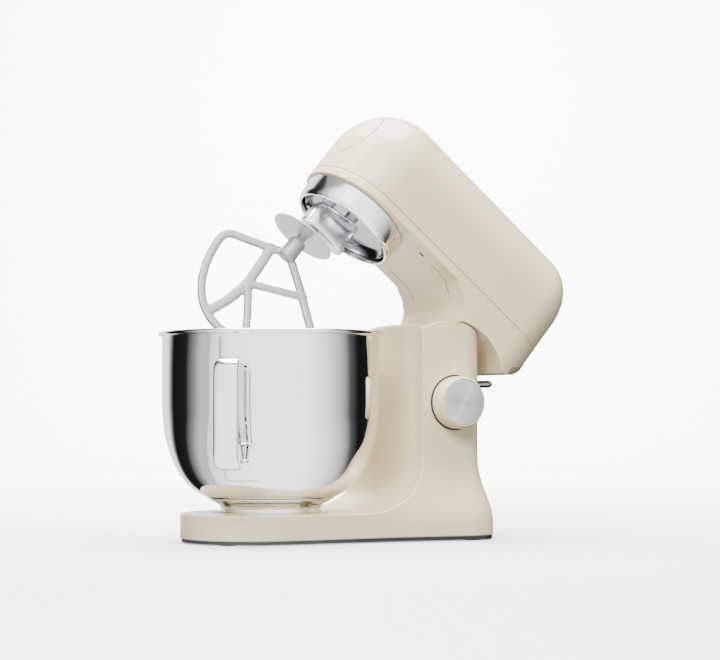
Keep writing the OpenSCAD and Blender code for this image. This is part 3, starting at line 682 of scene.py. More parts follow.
def plan_half_width(x):
    """Half width of the head seen from above: an ellipse at the nose, a circle at the tail."""
    nose = HEAD_R * np.sqrt(np.clip(1 - (np.minimum(x - HUB_X, 0) / NOSE_L) ** 2, 0, 1))
    past = np.maximum(x - TAIL_X + TAIL_R, 0)
    tail = HEAD_R - TAIL_R + np.sqrt(np.clip(TAIL_R ** 2 - past ** 2, 0, None))
    return np.minimum(nose, tail)


def nose_point(directions):
    """Where rays from the centre of the round nose leave it: an ellipsoid above the centre's
    height and an upright elliptical cylinder below it."""
    d = directions
    up = np.maximum(d[..., 2], 0)
    t = 1 / np.sqrt((d[..., 0] / NOSE_L) ** 2 + (d[..., 1] ** 2 + up ** 2) / HEAD_R ** 2)
    return d * t[..., None] + (HUB_X, 0, CROWN_Z)


CAP_AXIS = np.array([-math.cos(CAP_LIFT), 0, math.sin(CAP_LIFT)])
CAP_UP = np.array([math.sin(CAP_LIFT), 0, math.cos(CAP_LIFT)])
CAP_SIDE = np.array([0.0, 1.0, 0.0])


def cap_direction(theta, psi):
    """Direction at the angle theta from the cap's axis and psi round it."""
    return (np.cos(theta)[..., None] * CAP_AXIS
            + np.sin(theta)[..., None] * (np.cos(psi)[..., None] * CAP_UP
                                          + np.sin(psi)[..., None] * CAP_SIDE))


def cap_angle(radius, psi):
    """Angle from the cap's axis at which the nose's surface is the radius away from the axis,
    found by correcting a first guess a few times."""
    theta = np.full_like(psi, math.asin(radius / 64))
    for _ in range(25):
        p = nose_point(cap_direction(theta, psi)) - (HUB_X, 0, CROWN_Z)
        away = np.linalg.norm(p - (p @ CAP_AXIS)[..., None] * CAP_AXIS, axis=-1)
        theta = theta * (radius / away)
    return theta


def arch(x, r, n=33):
    """Section of the cover across x: up one wall, round the top and down the other wall."""
    low = np.linspace(SEAM_Z, CROWN_Z, 6)[:-1]
    a = np.linspace(math.pi, 0, n)
    y = np.concatenate([-np.ones(5), np.cos(a), np.ones(5)])
    z_wall = np.concatenate([low, np.full(n, CROWN_Z), low[::-1]])
    up = np.concatenate([np.zeros(5), np.sin(a), np.zeros(5)])
    x, r = np.asarray(x)[:, None], np.asarray(r)[:, None]
    return np.stack([x + 0 * y, r * y, z_wall + r * up], -1)


def cover_shell(cap_r):
    """Body as arches along x, tail closed to a point, and the nose between the cap's round
    opening and its borders as rays from the nose's centre."""
    tail = np.radians(np.linspace(0, 90, 13))
    x = np.concatenate([np.linspace(HUB_X, TAIL_X - TAIL_R, 26),
                        TAIL_X - TAIL_R + TAIL_R * np.sin(tail)[1:], np.full(5, TAIL_X)])
    r = np.concatenate([np.full(26, HEAD_R), HEAD_R - TAIL_R + TAIL_R * np.cos(tail)[1:],
                        np.linspace(26, 0, 6)[1:]])
    body = arch(x, r)
    border_top = body[0]
    a = np.linspace(math.pi / 2, -math.pi / 2, 49)[1:-1]
    low = np.stack([HUB_X - NOSE_L * np.cos(a), HEAD_R * np.sin(a), np.full(47, SEAM_Z)], 1)
    border = np.vstack([border_top, low, border_top[:1]])
    d = border - (HUB_X, 0, CROWN_Z)
    d = d / np.linalg.norm(d, axis=1, keepdims=True)
    theta = np.arccos(np.clip(d @ CAP_AXIS, -1, 1))
    psi = np.arctan2(d @ CAP_SIDE, d @ CAP_UP)
    inner = cap_angle(cap_r, psi)
    s = np.linspace(0, 1, 19)[:, None]
    nose = nose_point(cap_direction(inner + (theta - inner) * s, psi + 0 * s))
    nose[-1] = border
    obj = add_piece("head_cover_shell", [body, nose], "head", FINISH["enamel"],
                    ["head_cover"], open_shell=True, matrix=HEAD)
    give_wall(obj, 2.8)
    round_edges(obj, 0.45, 2)


def nose_cap(cap_r):
    """The cap as rays from the nose's centre inside its radius, sunk a hair at the rim."""
    psi = np.linspace(0, 2 * math.pi, 97)
    s = np.linspace(0, 1, 17)[:, None]
    theta = cap_angle(cap_r, psi) * s
    dome = nose_point(cap_direction(theta, psi + 0 * s))
    obj = add_piece("nose_cap", [dome], "cap", FINISH["enamel"], ["outlet_cap"],
                    open_shell=True, matrix=HEAD)
    give_wall(obj, 2.8)
    round_edges(obj, 0.5, 3)


PEDESTAL = np.array([[-62, 87], [-46, 80], [-35, 70], [-30.33, 57.04]], float)


def underside(x):
    """Height of the casing's underside over x: flat belly, front of the pedestal, saddle, tail."""
    a = np.radians(np.linspace(118, 49, 33))
    arc = np.stack([SADDLE_R * np.cos(a), SADDLE_R * np.sin(a)], 1)
    line = np.vstack([[-400, 87], PEDESTAL[:-1], arc,
                      [[48, 51], [58, 60], [66, 72], [70, 84]]])
    return np.interp(x, line[:, 0], line[:, 1])


def casing_shell(edge_round):
    """Side walls as plan outline by height, belly round the hub as a polar grid and the rest of
    the underside as the side profile carried across."""
    top = SEAM_Z - 0.35
    across = np.tan(np.radians(np.linspace(-45, 45, 19)))
    square_x = HUB_X + HEAD_R
    line_x = np.concatenate([[square_x, -84], np.array([-62, -54, -46, -40, -35, -30.33]),
                             np.linspace(-26, 38, 17),
                             [42.38, 48, 50, 54, 58, 62, 66, 68, 69.9]])
    line_z = underside(line_x)
    line_z[7] = 57.04
    y = plan_half_width(line_x)
    bottom = np.stack([np.broadcast_to(line_x[:, None], (len(line_x), 19)),
                       y[:, None] * across, np.broadcast_to(line_z[:, None],
                                                            (len(line_x), 19))], -1)
    # opening for the arm between x = -14 and 6, and the vent's slots in the tail
    keep_bottom = np.ones((len(line_x) - 1, 18), bool)
    cols = np.abs(across[:-1] + across[1:]) / 2 * HEAD_R < 21
    rows = (line_x[:-1] > -15) & (line_x[1:] < 7)
    keep_bottom[np.ix_(rows, cols)] = False
    rows = (line_x[:-1] > 49) & (line_x[1:] < 67)
    keep_bottom[np.ix_(rows, [2, 4, 6, 8, 9, 11, 13, 15])] = False
    s = np.linspace(0, 1, 8)[:, None, None]
    edge = np.stack([line_x, -y, line_z], 1)
    lip = edge.copy()
    lip[:, 2] = top
    side = edge[None] * (1 - s) + lip[None] * s
    back_low = np.stack([np.full(19, line_x[-1]), y[-1] * across, np.full(19, line_z[-1])], 1)
    back_top = back_low.copy()
    back_top[:, 2] = top
    back = back_low[None] * (1 - s) + back_top[None] * s
    # belly round the hub
    a = np.radians(np.linspace(-45, 45, 19))
    right = np.stack([np.full(19, square_x), HEAD_R * np.tan(a)], 1)
    b = np.radians(np.linspace(45, 90, 8))[1:]
    flank = np.stack([HUB_X + HEAD_R / np.tan(b), np.full(7, HEAD_R)], 1)
    c = np.radians(np.linspace(90, 270, 61))[1:]
    nose = np.stack([HUB_X + NOSE_L * np.cos(c), HEAD_R * np.sin(c)], 1)
    flank_b = (flank * (1, -1))[::-1][1:]
    outline = np.vstack([right, flank, nose, flank_b, right[:1]])
    rim = np.concatenate([outline, np.full((len(outline), 1), BELLY_Z)], 1)
    around = np.arctan2(rim[:, 1], rim[:, 0] - HUB_X)
    hole = np.stack([HUB_X + 56.4 * np.cos(around), 56.4 * np.sin(around),
                     np.full(len(rim), BELLY_Z)], 1)
    belly = between(hole, rim, 4)
    wall_line = outline[18:-1]
    wall_low = np.concatenate([wall_line, np.full((len(wall_line), 1), BELLY_Z)], 1)
    wall_low = np.vstack([wall_low, rim[-1]])
    wall_top = wall_low.copy()
    wall_top[:, 2] = top
    nose_wall = wall_low[None] * (1 - s) + wall_top[None] * s
    grids = [bottom, side, side * (1, -1, 1), back, belly, nose_wall]
    obj = add_piece("head_casing_shell", grids, "head", FINISH["enamel"],
                    ["head_casing"], open_shell=True, holes=[keep_bottom] + [None] * 5,
                    matrix=HEAD)
    give_wall(obj, 2.6)
    round_edges(obj, edge_round)
    belly_details()


def belly_details():
    """Oval plug, curved joint line and the tail's short ribs on both sides, half sunk: the line
    and the ribs are small round sections carried along a path."""
    x = spread(softened([[-86.7, -45.7], [-69.8, -43.8], [-46.9, -38.2]], 12, False, 9), 26)
    line = np.concatenate([x, underside(x[:, :1])], 1)
    bead = swept(line, rounded_section(1.1, 0.5, 2, 12), (0, 0, 1))
    plug = softened([[0, -0.25], [4, -0.25], [4.2, 0.3], [0, 0.3]], [0, 0.3, 0.1, 0], False, 4)
    plug = lathed(plug, 40) * (1, 0.55, 1) + (-101.3, -45.7, BELLY_Z)
    grids = [bead, plug, bead * (1, -1, 1), plug * (1, -1, 1)]
    for x in (50, 53.5, 57, 60.5, 64):
        y = -plan_half_width(np.array(x)) - 0.05
        low = underside(x) + 1.5
        rib = np.stack([np.full(8, x), np.full(8, y), np.linspace(low, low + 9, 8)], 1)
        rib = swept(rib, rounded_section(1.3, 0.5, 2, 12), (0, 1, 0))
        grids += [rib, rib * (1, -1, 1)]
    add_piece("belly_details", grids, "head", FINISH["plastic"], matrix=HEAD)


# ---- hub ----

def hub_pieces():
    ring = softened([[52.1, 63.2], [54.6, 63.6], [56.6, 67], [59.0, 86.1], [55.9, 86.1],
                     [55.9, 98.5], [52.5, 98.5], [52.5, 70]],
                    [0.8, 1.2, 1.4, 0.6, 0.2, 0.4, 0.4, 2])
    add_piece("hub_band", [ringed(ring, 160)], "head", FINISH["band"],
              ["hub_ring"], matrix=HUB, sharp=50)
    dish = softened([[7.0, 84.5], [51.4, 84.5], [51.4, 71], [50.2, 68], [48.6, 71], [44, 75.5],
                     [34, 79], [20, 81], [7.0, 81.4]], [0, 0.5, 0.6, 0.8, 2, 3, 4, 4, 0], True, 5)
    add_piece("hub_dish", [ringed(dish, 160)], "carrier", FINISH["dish"],
              ["carrier_dish"], matrix=HUB, sharp=50)
    planet_arm_piece()
    edge = softened([[5.1, 26.4], [35, 26.4], [35, 28], [5.1, 28]], [0, 0.7, 0.7, 0], True, 4)
    add_piece("flour_disc", [ringed(edge)], "tool",
              FINISH["disc"], ["flour_shield"], matrix=TOOL, sharp=60)


def planet_arm_piece():
    """Hull of two upright tapered rounds: for each direction of the normal the outline takes the
    round that reaches further, and the height carries both radii."""
    z = np.array([40, 40, 40.4, 41.4, 43, 50, 58, 65, 69, 72, 73.6, 74.6, 75, 75])
    inset = np.array([6, 1.6, 0.7, 0.15, 0, 0, 0, 0, 0, 0.1, 0.4, 1.0, 2.0, 6])
    front = np.interp(z, [40, 65, 75], [13, 11.5, 8]) - inset
    rear = np.interp(z, [40, 75], [11, 9]) - inset
    a = np.linspace(-math.pi, math.pi, 73)
    nx, ny = np.cos(a), np.sin(a)
    reach_front = -ORBIT * nx[None] + front[:, None]
    reach_rear = 4 * nx[None] + rear[:, None]
    take_front = reach_front > reach_rear
    x = np.where(take_front, -ORBIT, 4.0)
    r = np.where(take_front, front[:, None], rear[:, None])
    drop = np.where(take_front & (z[:, None] > 65), (z[:, None] - 65) * 0.5, 0)
    rows = np.stack([x + r * nx, r * ny, z[:, None] - drop], -1)
    centre = np.array([-12.0, 0, 0])
    low = rows[:1] * (0, 0, 1) + centre
    high = rows[-1:] * (0, 0, 1) + centre
    high[..., 2] = rows[-1:, :, 2].mean()
    add_piece("planet_arm_shell", [np.concatenate([low, rows, high])], "carrier",
              FINISH["arm"], ["planet_arm"], matrix=HUB, sharp=50)
    socket = softened([[7.05, 39.2], [9.6, 38.6], [11.2, 39.6], [11.2, 41], [7.05, 41]],
                      [0.3, 0.8, 0.8, 0.2, 0.2], True, 4)
    add_piece("socket_ring", [ringed(socket, 64)], "carrier",
              FINISH["dish"], matrix=TOOL, sharp=50)


def beater_side(corner, tip, n):
    """Side of the frame from a corner to the tip: powers of cosine and sine of one angle."""
    a = np.radians(np.linspace(0, 90, n + 1))
    return np.stack([corner[0] * np.cos(a) ** 0.8,
                     corner[1] + (tip - corner[1]) * np.sin(a) ** 0.95], 1)


def beater_piece():
    """Rounded bars carried along the strokes, fused by a remesh and smoothed like a casting."""
    tip = 131.5
    left = beater_side((65, 46), tip, 24)[1:]
    right = beater_side((-65, 72), tip, 24)[1:-1][::-1]
    loop = np.vstack([[[0, 24], [20, 31.5], [61, 44.5]], left, right,
                      [[-64, 74], [-31, 47]]])
    loop = spread(softened(loop, [2, 6, 6] + [3] * (len(left) + len(right)) + [6, 6]), 220, True)
    strokes = [[[18, 29], [15.5, 56], [14, 84]], [[14, 72], [19, 103], [28.5, 124]],
               [[17, 77], [-40, 51.5]], [[13.5, 76], [-5, 102], [-19, 125.5]]]

    def upright(p):
        """Drawing of the beater turned up: forward is -X and down is -Z."""
        return np.stack([-p[:, 0], 0 * p[:, 0], 27.2 - p[:, 1]], 1)

    bar = rounded_section(8.8, 6.4, 3.5)
    grids = [swept(upright(loop), bar, (0, 1, 0), True)]
    for k, s in enumerate(strokes):
        line = spread(softened(s, 14, False, 9), 24)
        grids.append(swept(upright(line), rounded_section(10.6 if k < 2 else 8.2, 6.4, 3.5),
                           (0, 1, 0)))
    boss = softened([[0, -3.6], [9.3, -3.6], [9.3, 19], [6.5, 22.2], [5, 22.4], [5, 38], [0, 38]],
                    [0, 2.5, 3, 1.5, 0.6, 0.6, 0], False, 5)
    grids.append(lathed(boss, 48))
    obj = add_piece("beater_casting", grids, "tool", FINISH["beater"],
                    ["beater"], matrix=BEATER, sharp=180)
    m = obj.modifiers.new("Fuse", "REMESH")
    m.mode = "VOXEL"
    m.voxel_size = 0.00095
    m.use_smooth_shade = True
    s = obj.modifiers.new("Smooth", "SMOOTH")
    s.factor, s.iterations = 0.5, 7
    shank = softened([[4.99, 30], [4.99, 64.2], [4.2, 65.2], [0, 65.2]], [0, 0.6, 0.4, 0],
                     False, 4)
    add_piece("beater_shank", [lathed(shank, 48)], "tool", FINISH["steel"],
              matrix=TOOL, sharp=50, open_shell=True)


# ---- bowl ----

def bowl_line(inset, radius, n=40):
    """Wall of the bowl from the floor's edge up to where it runs straight: powers of the sine
    and cosine of one angle, drawn in by the inset."""
    a = np.radians(np.linspace(0, 90, n))
    p = 2 / 2.15
    depth = BOWL_WALL_Z - BOWL_FLOOR_Z
    return np.stack([BOWL_FLOOR_R + (radius - BOWL_FLOOR_R - inset) * np.sin(a) ** p,
                     BOWL_WALL_Z - (depth - inset) * np.cos(a) ** p], 1)


def bowl_pieces(radius, wall):
    a = np.radians(np.linspace(180, -150, 23))
    bead = np.stack([radius + 1.4 + 2.3 * np.cos(a), 208.8 + 2.3 * np.sin(a)], 1)
    outer = np.vstack([[[0, 43], [26, 43]], bowl_line(0, radius),
                       [[radius, 170], [radius, 206.0]]])
    inner = np.vstack([[[radius - wall, 206.5], [radius - wall, 170]],
                       bowl_line(wall, radius)[::-1], [[26, 43 + wall], [0, 43 + wall]]])
    profile = np.vstack([outer, bead[::-1], inner])
    add_piece("bowl_steel", [lathed(profile, 192)], "bowl", FINISH["bowl"],
              ["bowl_shell"], sharp=50)
    foot = softened([[47.5, 22], [50.5, 22], [50.5, 35], [52, 37.4], [58, 40.6], [64.5, 44.0],
                     [64.5, 44.7], [57, 43.0], [50, 42.9], [47.5, 42.9]],
                    [0.4, 0.6, 1.4, 1.4, 3, 0.3, 0.3, 2, 1, 0.2], True, 5)
    grids = [ringed(foot)]
    lug = softened([[49.5, 22.6], [54.4, 22.6], [54.4, 26], [49.5, 26]], [0, 0.6, 0.6, 0], True, 3)
    for at in (20, 140, 260):
        ring = ringed(lug, 10, at - 7.5, 15)
        middle = ring.mean(0, keepdims=True).repeat(len(ring), 0)
        ends = [np.concatenate([ring[:, k:k + 1], middle[:, k:k + 1]], 1) for k in (0, -1)]
        grids += [ring, *ends]
    add_piece("bowl_foot_ring", grids, "bowl", FINISH["bowl_foot"],
              ["bowl_foot"], sharp=50)
    handle_piece(radius)


def handle_piece(radius):
    """Flat bar carried round a rounded rectangle, and two pressed plates that follow the bowl's
    wall and swell from their edges by a high power."""
    turned = turn(2, 227.5)
    corner = [[radius - 3, 179], [142.4, 179], [142.4, 79], [87, 79]]
    line = spread(softened(corner, [0, 13, 13, 0], False, 14), 90)
    path = np.stack([line[:, 0], 0 * line[:, 0], line[:, 1]], 1)
    grids = [swept(path, rounded_section(8.0, 24.6, 3.2, 36), (0, 1, 0))]
    u = np.linspace(-1, 1, 21)[None, :]
    v = np.linspace(-1, 1, 25)[:, None]
    swell = (1 - np.abs(u) ** 7) * (1 - np.abs(v) ** 7)
    out = 0.15 + 1.0 * swell

    def on_wall(z_mid, z_half, half_deg):
        z = z_mid + z_half * v + 0 * u
        wall = bowl_line(0, radius, 200)
        r = np.where(z > BOWL_WALL_Z, radius, np.interp(z, wall[:, 1], wall[:, 0]))
        slope = np.gradient(r[:, 0], z[:, 0])[:, None]
        fall = 1 / np.sqrt(1 + slope ** 2)
        a = np.radians(half_deg) * u * (radius / r)
        rr = r + out * fall - 0.3
        zz = z - out * fall * slope
        return np.stack([rr * np.cos(a), rr * np.sin(a), zz], -1)

    grids += [on_wall(191, 14.5, 10), on_wall(74, 11, 10)]
    obj = add_piece("bowl_handle_bar", grids, "bowl", FINISH["handle"],
                    ["bowl_handle"], matrix=turned, sharp=50)
    return obj


# ---- controls ----

def control_pieces(knob_r, knob_h):
    face_y = -65.4 - knob_h
    knob = shift(KNOB[0], face_y, KNOB[2]) @ turn(0, -90)
    skirt = softened([[knob_r - 3.5, 1.6], [knob_r - 3.5, 0.3], [knob_r - 2.7, 0],
                      [knob_r - 0.5, 3.2], [knob_r, 5.5], [knob_r, knob_h - 0.9],
                      [knob_r - 2.3, knob_h - 0.9], [knob_r - 2.3, 14], [knob_r - 4.2, 12]],
                     [0.3, 0.4, 0.9, 1.8, 1.2, 0.5, 0.5, 0.5, 0.5], True, 5)
    add_piece("knob_skirt", [ringed(skirt)], "knob",
              FINISH["enamel"], ["knob_body"], matrix=knob, sharp=50)
    web = softened([[3.0, 1.7], [knob_r - 3.2, 1.7], [knob_r - 3.2, 4], [3.0, 4]], 0.2, True, 3)
    add_piece("knob_web", [ringed(web, 96)], "knob", FINISH["enamel"],
              matrix=knob, sharp=50)
    r = knob_r - 3.75
    disc = np.array([[0.0, 0.28], [r * 0.5, 0.2], [r - 1.0, 0.1], [r - 0.35, 0.2], [r, 0.5],
                     [r, 1.6], [0, 1.6]])
    grid = lathed(disc[::-1], 128)
    add_piece("knob_disc", [grid], "knob", FINISH["face"], ["knob_face"],
              matrix=knob, sharp=50)
    # Painted shade: a thin black plastic ring on the pillar, wider than the knob, stands in for the
    # shadow in the gap between the knob and the pillar
    painted_shade_ring = softened([[6, knob_h - 0.6], [knob_r + 1.5, knob_h - 0.6], [knob_r + 1.5, knob_h + 0.3],
                     [6, knob_h + 0.3]], 0.2, True, 3)
    add_piece("knob_painted_shade_ring", [ringed(painted_shade_ring, 96)], "stand", FINISH["plastic"],
              matrix=knob, sharp=50)
    # printed marks round the skirt
    a = np.radians(np.linspace(25, 335, 9) + 90)
    grids = []
    dot = np.linspace(0, 2 * math.pi, 17)
    for size, angle in zip(np.linspace(0.45, 0.75, 9), a):
        turned = angle + size / knob_r * np.cos(dot)[None] * np.array([[0.0], [1.0]])
        z = 11 + size * np.sin(dot)[None] * np.array([[0.0], [1.0]])
        grids.append(np.stack([(knob_r + 0.04) * np.cos(turned), (knob_r + 0.04) * np.sin(turned),
                               z], -1))
    add_piece("knob_marks", grids, "knob", FINISH["print"], matrix=knob,
              open_shell=True)
    lever_piece()


def lever_piece():
    """Lever lofted from the pivot to its turned-up tip: each section is a superellipse whose
    width and thickness change along the way."""
    u = np.array([0, 0.15, 0.4, 0.7, 0.88, 0.955, 0.988, 1.0])
    x = LEVER[0] + 1.5 + u * 53.2
    z = LEVER[2] + 1.5 + 0.75 * u
    thick = np.array([4.9, 5.0, 5.6, 7.0, 8.1, 8.2, 6.6, 3.4])
    width = np.array([27.4, 27.6, 27.8, 28, 28, 27.6, 26.4, 23.5])
    s = looped(rounded_section(1, 1, 3.6, 40))
    loft = np.stack([x[:, None] + 0 * s[None, :, 0], width[:, None] * s[None, :, 0],
                     z[:, None] + thick[:, None] * s[None, :, 1]], -1)
    ends = [loft[k:k + 1].mean(1, keepdims=True).repeat(loft.shape[1], 1) for k in (0, -1)]
    loft = np.concatenate([ends[0], loft, ends[1]])
    barrel = softened([[2.05, -14], [5, -14], [5, 14], [2.05, 14]], 0.5, True, 4)
    pivot = ringed(barrel, 40)
    pivot = placed(pivot.reshape(-1, 3), shift(*LEVER) @ turn(0, -90)).reshape(pivot.shape)
    t = np.linspace(0, 1, 9)[:, None]
    s = looped(rounded_section(1, 1, 3, 24))
    nose_x = LEVER[0] - 2 - 11.6 * t
    size = np.array([0.01, 1, 1, 1, 1, 1, 1, 0.8, 0.01])[:, None]
    catch = np.stack([nose_x + 0 * s[None, :, 0], 17.6 * size * s[None, :, 0],
                      LEVER[2] + size * (4.0 - t) * s[None, :, 1]], -1)
    add_piece("lever_blade", [loft, pivot, catch], "lever", FINISH["dish"],
              ["release_lever"], sharp=50)


# ---- stage ----

def make_stage(light_power):
    """Floor that sweeps up behind the object, soft panels of light and the camera."""
    t = np.linspace(0, 1, 40)
    y = np.concatenate([np.linspace(-6, 2.6, 20), 2.6 + 1.4 * np.sin(t[1:] * math.pi / 2),
                        np.full(6, 4.0)])
    z = np.concatenate([np.zeros(20), 1.4 * (1 - np.cos(t[1:] * math.pi / 2)),
                        np.linspace(1.6, 6, 6)])
    x = np.linspace(-9, 9, 13)
    turned = math.radians(-27.5)
    gx, gy = np.meshgrid(x, y, indexing="ij")
    gz = np.broadcast_to(z, gx.shape)
    px = gx * math.cos(turned) - gy * math.sin(turned)
    py = gx * math.sin(turned) + gy * math.cos(turned)
    verts = np.stack([px, py, gz], 2).reshape(-1, 3)
    me = bpy.data.meshes.new("studio_floor")
    me.from_pydata(verts.tolist(), [], grid_faces(*gx.shape).tolist())
    me.shade_smooth()
    floor = bpy.data.objects.new("studio_floor", me)
    bpy.context.scene.collection.objects.link(floor)
    n = Nodes("Pale floor")
    n.link(n.tint(n.noise(n.coords(), 3), (0.93, 0.93, 0.93), (0.95, 0.95, 0.95)),
           n.shader.inputs["Base Color"])
    n.set(Roughness=0.6, Emission_Color=(1, 1, 1, 1), Emission_Strength=0.55)
    me.materials.append(n.material)
    floor.visible_diffuse = False

    world = bpy.data.worlds.new("Studio")
    bpy.context.scene.world = world
    world.use_nodes = True
    world.node_tree.nodes["Background"].inputs["Color"].default_value = (0.97, 0.98, 1.0, 1)
    world.node_tree.nodes["Background"].inputs["Strength"].default_value = 0.42

    def panel(name, place, target, size, power):
        light = bpy.data.lights.new(name, "AREA")
        light.shape = "RECTANGLE"
        light.size, light.size_y = size
        light.energy = power * light_power
        obj = bpy.data.objects.new(name, light)
        obj.location = place
        aim = np.array(target) - np.array(place)
        obj.rotation_mode = "QUATERNION"
        obj.rotation_quaternion = aimed(aim)
        bpy.context.scene.collection.objects.link(obj)

    panel("Key panel", (-1.5, -1.9, 2.0), (0.05, 0, 0.25), (1.3, 1.3), 160)
    panel("Top panel", (0.2, 0.2, 2.6), (0.1, 0, 0.2), (2.2, 2.2), 270)
    panel("Side panel", (2.2, -1.2, 1.1), (0.1, 0, 0.2), (0.9, 1.6), 14)
    # backdrop light behind the object, aimed at the sweep
    panel("Backdrop panel", (1.0, 1.6, 2.6), (1.8, 3.6, 0.6), (3.0, 1.0), 900)

    light_tent()

    camera = bpy.data.cameras.new("Camera")
    camera.lens = CAMERA_LENS
    camera.sensor_width = 36
    camera.clip_start, camera.clip_end = 0.05, 60
    obj = bpy.data.objects.new("Camera", camera)
    obj.location = CAMERA_PLACE
    obj.rotation_mode = "QUATERNION"
    obj.rotation_quaternion = aimed(np.array(CAMERA_AIM) - np.array(obj.location))
    bpy.context.scene.collection.objects.link(obj)
    bpy.context.scene.camera = obj


def light_tent():
    """Upright tube of bright and dark panels round the object that only reflections see. Its
    light is a ramp over the angle round the Z axis."""
    a = np.linspace(0, 2 * math.pi, 65)
    r = np.array([0.03, 0.7, 1.6, 1.6, 1.6])[:, None]
    z = np.array([0.0006, 0.0006, 0.0006, 0.9, 2.4])[:, None]
    grid = np.stack([r * np.cos(a), r * np.sin(a), z + 0 * a], 2)
    me = bpy.data.meshes.new("light_tent")
    me.from_pydata(grid.reshape(-1, 3).tolist(), [], grid_faces(5, 65).tolist())
    tent = bpy.data.objects.new("light_tent", me)
    bpy.context.scene.collection.objects.link(tent)
    n = Nodes("Light tent")
    n.tree.nodes.remove(n.shader)
    turn_round = n.add("ShaderNodeTexGradient", gradient_type="RADIAL")
    n.link(n.coords(), turn_round.inputs["Vector"])
    ramp = n.add("ShaderNodeValToRGB")
    stops = [(0.0, 1.6), (0.06, 2.6), (0.18, 3.0), (0.27, 2.8), (0.335, 1.9), (0.385, 0.9),
             (0.425, 0.12), (0.46, 0.01), (0.59, 0.02), (0.64, 0.6), (0.67, 2.2), (0.80, 2.2),
             (0.825, 0.3), (0.843, 0.01), (0.91, 0.02), (0.945, 0.35), (0.97, 0.9)]
    while len(ramp.color_ramp.elements) < len(stops):
        ramp.color_ramp.elements.new(0.5)
    for element, (at, level) in zip(ramp.color_ramp.elements, stops):
        element.position = at
        element.color = (level, level, level * 1.01, 1)
    glow = n.add("ShaderNodeEmission", Strength=1.0)
    n.link(turn_round.outputs["Fac"], ramp.inputs["Fac"])
    n.link(ramp.outputs["Color"], glow.inputs["Color"])
    n.link(glow.outputs["Emission"], n.tree.nodes["Material Output"].inputs["Surface"])
    me.materials.append(n.material)
    tent.visible_camera = tent.visible_diffuse = tent.visible_shadow = False


def aimed(direction):
    """Turn that points an object's -Z along the direction with +Y up."""
    return Vector(direction).to_track_quat("-Z", "Y")


# ---- add-on ----

def length(name, description, default):
    return bpy.props.FloatProperty(name=name, description=description, default=default,
                                   min=0.0, unit="LENGTH", subtype="DISTANCE")


def colour(name, description, default):
    return bpy.props.FloatVectorProperty(name=name, description=description, default=default,
                                         size=3, min=0.0, max=1.0, subtype="COLOR")


class MixerSizes(bpy.types.PropertyGroup):
    """Sizes that a user may change."""
    edge_round: length("Edge rounding", "Rounding of the stand's and casing's edges", 0.0016)
    cap_gap: length("Cap gap", "Width of the seam round the nose cap", 0.0009)
    cap_radius: length("Cap radius", "Radius of the nose cap", 0.0357)
    bowl_radius: length("Bowl radius", "Outer radius of the bowl's straight wall", 0.110)
    bowl_wall: length("Bowl wall", "Thickness of the bowl's sheet", 0.0012)
    knob_radius: length("Knob radius", "Radius of the speed knob", 0.0268)
    knob_height: length("Knob height", "Height of the speed knob", 0.0189)


class MixerFinishes(bpy.types.PropertyGroup):
    """Colours and light that a user may change."""
    enamel: colour("Enamel", "Colour of the enamelled shells", (0.89, 0.755, 0.48))
    steel: colour("Steel", "Colour of the bowl's polished steel", (0.90, 0.90, 0.91))
    beater: colour("Beater", "Colour of the cast beater", (0.34, 0.34, 0.345))
    light: bpy.props.FloatProperty(name="Light", description="Power of the studio panels",
                                   default=1.0, min=0.0, subtype="FACTOR", soft_max=3.0)


class MIXER_OT_finishes(bpy.types.Operator):
    """Makes the finishes and gives them to the CAD nodes that stay in view"""
    bl_idname = "mixer.finishes"
    bl_label = "Finishes"

    def execute(self, context):
        FINISH.update(make_finishes(context.scene.mixer_finishes))
        for finish, names in KEPT.items():
            for name in names:
                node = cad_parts[name]
                if not node.material_slots:
                    node.data.materials.append(FINISH[finish])
                for slot in node.material_slots:
                    slot.material = FINISH[finish]
        return {"FINISHED"}


class MIXER_OT_stand(bpy.types.Operator):
    """Builds the stand's shell"""
    bl_idname = "mixer.stand"
    bl_label = "Stand"

    def execute(self, context):
        stand_shell(context.scene.mixer_sizes.edge_round * 1000)
        return {"FINISHED"}


class MIXER_OT_head(bpy.types.Operator):
    """Builds the head's cover, casing and nose cap"""
    bl_idname = "mixer.head"
    bl_label = "Head shells"

    def execute(self, context):
        sizes = context.scene.mixer_sizes
        cover_shell((sizes.cap_radius + sizes.cap_gap) * 1000)
        nose_cap(sizes.cap_radius * 1000)
        casing_shell(min(sizes.edge_round * 1000, 1.2))
        return {"FINISHED"}


class MIXER_OT_hub(bpy.types.Operator):
    """Builds the hub's ring, dish, arm and flour disc"""
    bl_idname = "mixer.hub"
    bl_label = "Hub"

    def execute(self, context):
        hub_pieces()
        return {"FINISHED"}


class MIXER_OT_beater(bpy.types.Operator):
    """Builds the beater"""
    bl_idname = "mixer.beater"
    bl_label = "Beater"

    def execute(self, context):
        beater_piece()
        return {"FINISHED"}


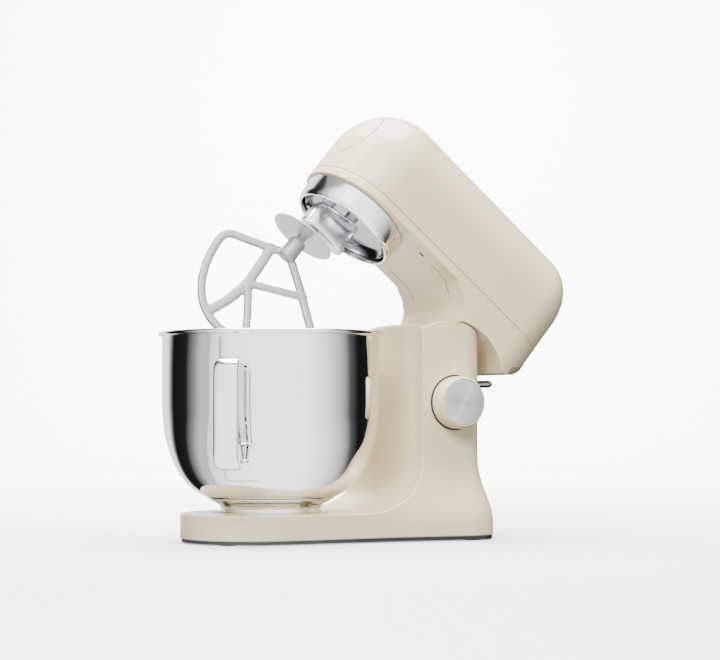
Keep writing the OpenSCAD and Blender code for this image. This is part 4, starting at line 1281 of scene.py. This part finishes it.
class MIXER_OT_bowl(bpy.types.Operator):
    """Builds the bowl with its foot and handle"""
    bl_idname = "mixer.bowl"
    bl_label = "Bowl"

    def execute(self, context):
        sizes = context.scene.mixer_sizes
        bowl_pieces(sizes.bowl_radius * 1000, sizes.bowl_wall * 1000)
        return {"FINISHED"}


class MIXER_OT_controls(bpy.types.Operator):
    """Builds the speed knob and the release lever"""
    bl_idname = "mixer.controls"
    bl_label = "Controls"

    def execute(self, context):
        sizes = context.scene.mixer_sizes
        control_pieces(sizes.knob_radius * 1000, sizes.knob_height * 1000)
        return {"FINISHED"}


class MIXER_OT_stage(bpy.types.Operator):
    """Builds the floor, the lights and the camera"""
    bl_idname = "mixer.stage"
    bl_label = "Stage"

    def execute(self, context):
        make_stage(context.scene.mixer_finishes.light)
        return {"FINISHED"}


OPERATORS = [MIXER_OT_finishes, MIXER_OT_stand, MIXER_OT_head, MIXER_OT_hub, MIXER_OT_beater,
             MIXER_OT_bowl, MIXER_OT_controls, MIXER_OT_stage]


class MIXER_PT_panel(bpy.types.Panel):
    """Sidebar panel with the mixer's sizes, finishes and operators"""
    bl_label = "Stand mixer"
    bl_idname = "MIXER_PT_panel"
    bl_space_type = "VIEW_3D"
    bl_region_type = "UI"
    bl_category = "Mixer"

    def draw(self, context):
        for group in (context.scene.mixer_sizes, context.scene.mixer_finishes):
            box = self.layout.box()
            for name in type(group).__annotations__:
                box.prop(group, name)
        for operator in OPERATORS:
            self.layout.operator(operator.bl_idname)


CLASSES = [MixerSizes, MixerFinishes, *OPERATORS, MIXER_PT_panel]


def register():
    for cls in CLASSES:
        bpy.utils.register_class(cls)
    bpy.types.Scene.mixer_sizes = bpy.props.PointerProperty(type=MixerSizes)
    bpy.types.Scene.mixer_finishes = bpy.props.PointerProperty(type=MixerFinishes)


def unregister():
    del bpy.types.Scene.mixer_sizes
    del bpy.types.Scene.mixer_finishes
    for cls in reversed(CLASSES):
        bpy.utils.unregister_class(cls)


def main():
    register()
    bpy.ops.mixer.finishes()
    bpy.ops.mixer.stand()
    bpy.ops.mixer.head()
    bpy.ops.mixer.hub()
    bpy.ops.mixer.beater()
    bpy.ops.mixer.bowl()
    bpy.ops.mixer.controls()
    bpy.ops.mixer.stage()


if __name__ == "__main__":
    main()
